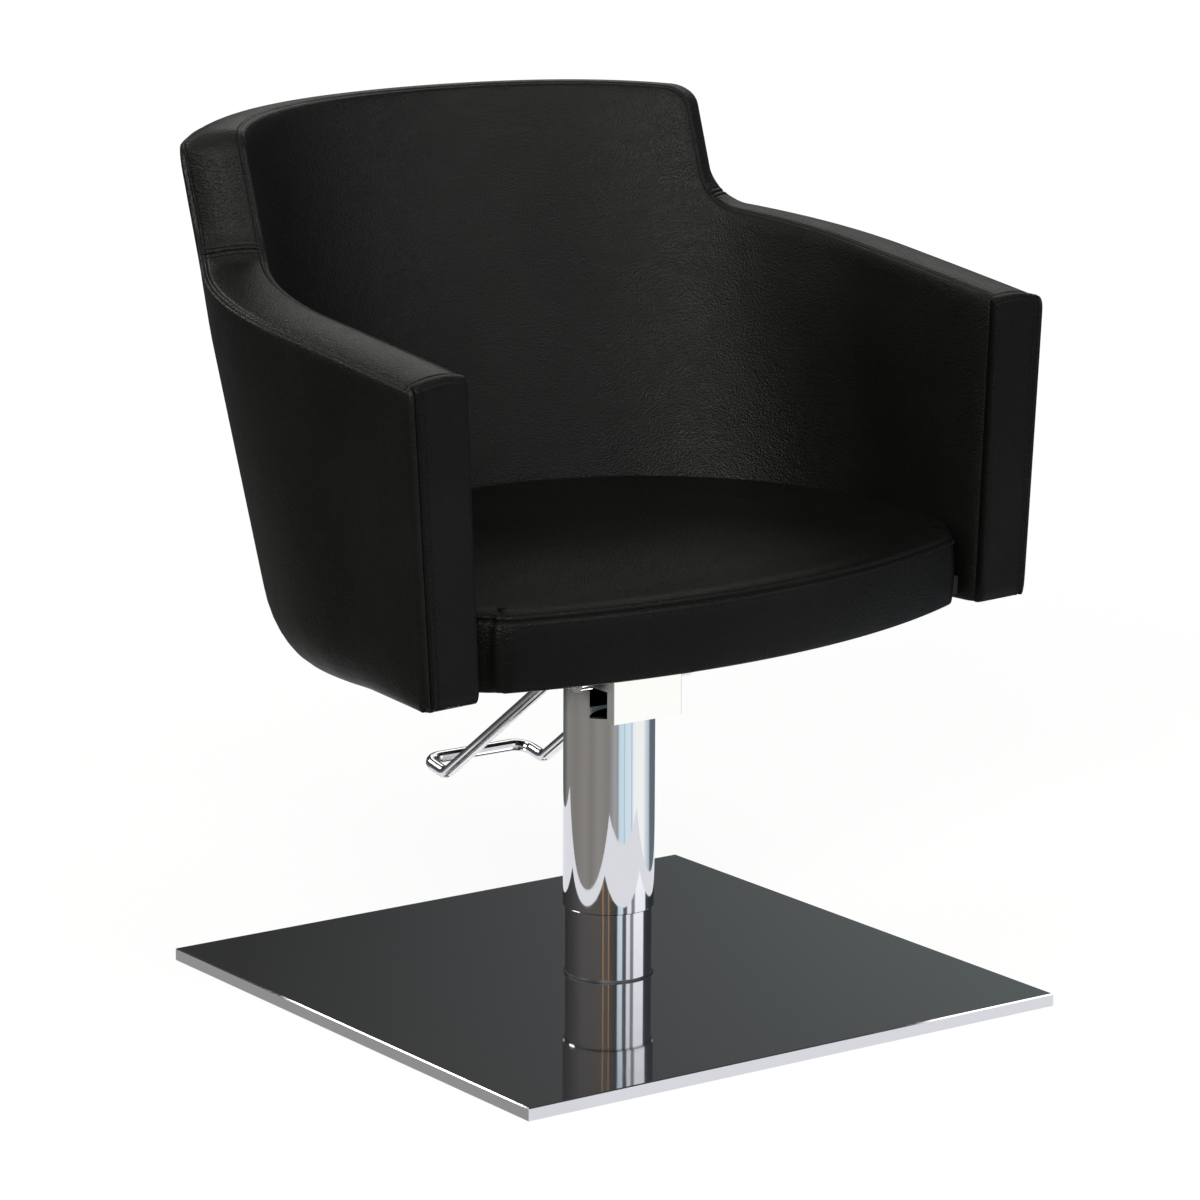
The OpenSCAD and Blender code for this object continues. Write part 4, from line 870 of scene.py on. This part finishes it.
back_runs = fine_runs(BACK_SEAM, RUN[-1] + 10)
back_runs = np.append(back_runs[back_runs < RUN[-1] - 0.5], RUN[-1])
back_strip = rim_strip("back_rim_cover", both(back_runs), BACK_SEAM, None, leather_creased)
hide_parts("back_rim")
for label, side in (("left", -1), ("right", 1)):
    arm_runs = [(r, side) for r in fine_runs(0.0, BACK_SEAM)]
    strip = rim_strip(label + "_arm_rim_cover", arm_runs, 0.0, BACK_SEAM, leather)
    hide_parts(label + "_arm_rim")
    face = facing(label + "_arm_facing_cover", side, leather_painted_shade)
    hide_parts(label + "_arm_facing")

cushion = seat_cushion_piece(leather_painted_shade)
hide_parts("seat_cushion")

# Painted shade: a dark ring for the line of shade where the tube meets the plate
foot_shade_ring(oiled_steel)

rows = []
for side in (-1, 1):
    for w in (ROW / STRIP_MM, 1 - ROW / STRIP_MM):
        rows.append(rim_line(3, BACK_SEAM - 2.5, w, side))
        rows.append(rim_line(BACK_SEAM + 2.5, RUN[-1], w, side))
    for off in (-ROW, ROW):
        rows.append(across_line(BACK_SEAM, side, off))
    rows.append(facing_point(ROW / FACING_H, np.linspace(0.04, 0.95, 30), side, 0.1))
    for v in (ROW / FACING_W, 1 - SIDE_ROW / FACING_W):
        rows.append(facing_point(np.linspace(0.02, 0.99, 90), v, side, 0.1))
stitch_rows("rim_stitches", rows)
seam = seat_outline(SEAT_FRONT_Z - SEAT_ROW, -0.5)
seam = np.column_stack([seam, seat_edge_z(seam[:, 1]) - SEAT_ROW])
half = seam[:60]  # the front, the corner and the start of the side
stitch_rows("seat_stitches", [half, half * np.array([-1, 1, 1])])

# ---------------------------------------------------------------- stage

# Studio round the chair as polished metal shows it: share of a turn (0.5 towards the camera,
# 0.75 to the right) and colour. Dark room, tall windows on the right. Listed to match the
# stripes in the column.
ROOM = [(0.0, (0.078, 0.082, 0.083)), (0.011, (0.03, 0.031, 0.031)), (0.08, (0.03, 0.03, 0.032)),
        (0.2, (0.06, 0.058, 0.056)), (0.30, (0.11, 0.105, 0.1)), (0.42, (0.12, 0.11, 0.095)),
        (0.456, (0.12, 0.105, 0.085)), (0.461, (0.7, 0.36, 0.15)), (0.466, (0.12, 0.105, 0.085)),
        (0.497, (0.12, 0.105, 0.085)), (0.502, (0.7, 0.36, 0.15)), (0.507, (0.1, 0.09, 0.075)),
        (0.56, (0.06, 0.06, 0.062)), (0.571, (0.85, 1.0, 1.12)), (0.6, (0.95, 1.1, 1.2)),
        (0.606, (0.15, 0.16, 0.17)), (0.63, (0.12, 0.13, 0.14)), (0.637, (1.15, 1.2, 1.24)),
        (0.662, (1.15, 1.2, 1.24)), (0.67, (0.3, 0.32, 0.34)), (0.69, (0.35, 0.37, 0.4)),
        (0.7, (1.35, 1.37, 1.38)), (0.79, (1.3, 1.34, 1.38)), (0.8, (0.06, 0.075, 0.09)),
        (0.85, (0.025, 0.032, 0.04)), (0.95, (0.035, 0.036, 0.036)), (0.983, (0.135, 0.158, 0.158)),
        (1.0, (0.078, 0.082, 0.083))]
# Plain grey above the pattern of the room, and the heights where one fades into the other
CEILING, CEILING_FROM = (0.055, 0.055, 0.054, 1), (0.26, 0.36)
# White sheet under the chair, along the base plate: middle and half size in metres
SHEET_AT, SHEET_HALF, SHEET_WHITE = (0.015, 0.044), (0.385, 0.581), (0.82, 0.83, 0.86, 1)
# Where the pattern of the floor in the metal ends, and the plain grey beyond
PATTERN_END, FAR_FLOOR = (1.5, 1.62), (0.1, 0.1, 0.1, 1)
# The floor as the camera sees it: paint that takes the shadow, veiled with plain white, more so
# from 1 m out
FLOOR_SIZE, FLOOR_PAINT, FLOOR_WHITE = 30.0, (0.86, 0.86, 0.86, 1), 1.03
VEIL, VEIL_MORE, VEIL_FROM = 0.8, 0.2, (1.0, 2.6)
# Directions along and across the base plate, which is turned by 6 degrees
PLATE_X, PLATE_Y = (0.9945, -0.1045, 0), (0.1045, 0.9945, 0)
# Floor of the studio outside the white sheet under the chair, listed in the same way
FLOOR = [(0.0, (0.12, 0.13, 0.125)), (0.1, (0.11, 0.12, 0.115)), (0.16, (0.26, 0.25, 0.235)),
         (0.25, (0.23, 0.22, 0.205)), (0.333, (0.27, 0.255, 0.235)), (0.38, (0.23, 0.22, 0.205)),
         (0.43, (0.29, 0.275, 0.255)), (0.5, (0.25, 0.24, 0.225)), (0.54, (0.4, 0.4, 0.4)),
         (0.56, (0.33, 0.34, 0.35)), (0.571, (0.62, 0.78, 0.88)), (0.6, (0.68, 0.84, 0.92)),
         (0.606, (0.42, 0.52, 0.6)), (0.611, (0.7, 0.86, 0.94)), (0.655, (0.72, 0.87, 0.95)),
         (0.66, (0.4, 0.48, 0.55)), (0.668, (0.9, 0.98, 1.02)), (0.69, (1.03, 1.03, 1.0)),
         (0.762, (1.03, 1.03, 1.0)), (0.775, (0.8, 0.86, 0.88)), (0.822, (0.5, 0.57, 0.63)),
         (0.838, (0.13, 0.17, 0.21)), (1.0, (0.12, 0.14, 0.15))]


def studio_world():
    """White to the camera, the room to glossy rays, and a weak even light."""
    world = bpy.data.worlds.new("studio")
    bpy.context.scene.world = world
    world.use_nodes = True
    world.node_tree.nodes.clear()
    g = Graph(world.node_tree)
    coord = g.add("ShaderNodeTexCoord").outputs["Generated"]
    path = g.add("ShaderNodeLightPath")
    height = g.dot(coord, (0, 0, 1))
    room = g.blend(g.ramp(height, *CEILING_FROM), g.around(coord, ROOM), CEILING)
    layers = []
    for colour, strength in ((room, 1.0), ((1, 1, 1, 1), 0.25), ((1, 1, 1, 1), 1.0)):
        back = g.add("ShaderNodeBackground")
        back.inputs["Strength"].default_value = strength
        if isinstance(colour, tuple):
            back.inputs["Color"].default_value = colour
        else:
            g.link(colour, back.inputs["Color"])
        layers.append(back.outputs[0])
    mirrored, light, seen = layers
    world_out = g.layer(path.outputs["Is Glossy Ray"], light, mirrored)
    world_out = g.layer(path.outputs["Is Camera Ray"], world_out, seen)
    g.link(world_out, g.add("ShaderNodeOutputWorld").inputs["Surface"])


def pale_floor():
    """White floor that takes the shadow; glossy rays see the sheet and the pattern of FLOOR."""
    mesh = bpy.data.meshes.new("floor")
    corners = [(x * FLOOR_SIZE, y * FLOOR_SIZE, 0) for x, y in ((-1, -1), (1, -1), (1, 1), (-1, 1))]
    mesh.from_pydata(corners, [], [(0, 1, 2, 3)])
    floor = put("floor", mesh)
    mat = bpy.data.materials.new("pale_floor")
    mat.use_nodes = True
    mat.node_tree.nodes.clear()
    g = Graph(mat.node_tree)
    coord = g.add("ShaderNodeTexCoord").outputs["Object"]
    path = g.add("ShaderNodeLightPath")
    along = g.math("ABSOLUTE", g.math("SUBTRACT", g.dot(coord, PLATE_X), SHEET_AT[0]))
    across = g.math("ABSOLUTE", g.math("SUBTRACT", g.dot(coord, PLATE_Y), SHEET_AT[1]))
    sheet = g.math("MULTIPLY", g.math("LESS_THAN", along, SHEET_HALF[0]),
                   g.math("LESS_THAN", across, SHEET_HALF[1]))
    reach = g.add("ShaderNodeVectorMath", operation="LENGTH")
    g.link(coord, reach.inputs[0])
    radius = reach.outputs["Value"]
    pattern = g.blend(g.ramp(radius, *PATTERN_END), g.around(coord, FLOOR), FAR_FLOOR)
    mirrored = g.add("ShaderNodeEmission")
    g.link(g.blend(sheet, pattern, SHEET_WHITE), mirrored.inputs["Color"])
    white = g.add("ShaderNodeEmission", Strength=FLOOR_WHITE)
    lit = g.add("ShaderNodeBsdfDiffuse", Color=FLOOR_PAINT)
    veil = g.math("ADD", g.math("MULTIPLY", g.ramp(radius, *VEIL_FROM), VEIL_MORE), VEIL)
    veil = g.math("MULTIPLY", path.outputs["Is Camera Ray"], veil)
    floor_out = g.layer(veil, lit.outputs[0], white.outputs[0])
    floor_out = g.layer(path.outputs["Is Glossy Ray"], floor_out, mirrored.outputs[0])
    g.link(floor_out, g.add("ShaderNodeOutputMaterial").inputs["Surface"])
    mesh.materials.append(mat)


# Name, share of a turn as in ROOM, reach and height in metres, width and height of the lamp, power
LAMPS = [("overhead_lamp", 0.25, 0.5, 2.9, (2.4, 1.8), 17),
         ("camera_side_lamp", 0.48, 3.4, 2.1, (1.6, 0.8), 92),
         ("key_lamp", 0.63, 2.6, 2.7, (1.4, 1.2), 42),
         ("window_lamp", 0.72, 2.4, 1.75, (1.6, 1.0), 12),
         ("left_lamp", 0.3, 2.6, 1.9, (1.2, 1.2), 24),
         ("far_left_lamp", 0.15, 2.4, 1.9, (1.0, 1.0), 14),
         ("far_lamp", 0.98, 2.4, 2.1, (2.4, 1.4), 14)]
LAMP_TINT, LAMP_AIM = (1.0, 0.985, 0.955), 0.5


def soft_lamp(name, turn, reach, height, size, power):
    """Area lamp at a share of a turn round the chair, as in ROOM, aimed at the seat."""
    q = (turn - 0.5) * 2 * math.pi
    place = (Vector(TO_CAMERA) * math.cos(q) + Vector(TO_RIGHT) * math.sin(q)) * reach
    place += Vector((0, 0, height))
    data = bpy.data.lights.new(name, "AREA")
    data.shape = "RECTANGLE"
    data.size, data.size_y = size
    data.energy = power
    data.color = LAMP_TINT
    obj = put(name, data)
    obj.location = place
    obj.rotation_euler = (Vector((0, 0, LAMP_AIM)) - place).to_track_quat("-Z", "Y").to_euler()


studio_world()
pale_floor()
for lamp in LAMPS:
    soft_lamp(*lamp)
bpy.context.scene.view_settings.view_transform = "Standard"
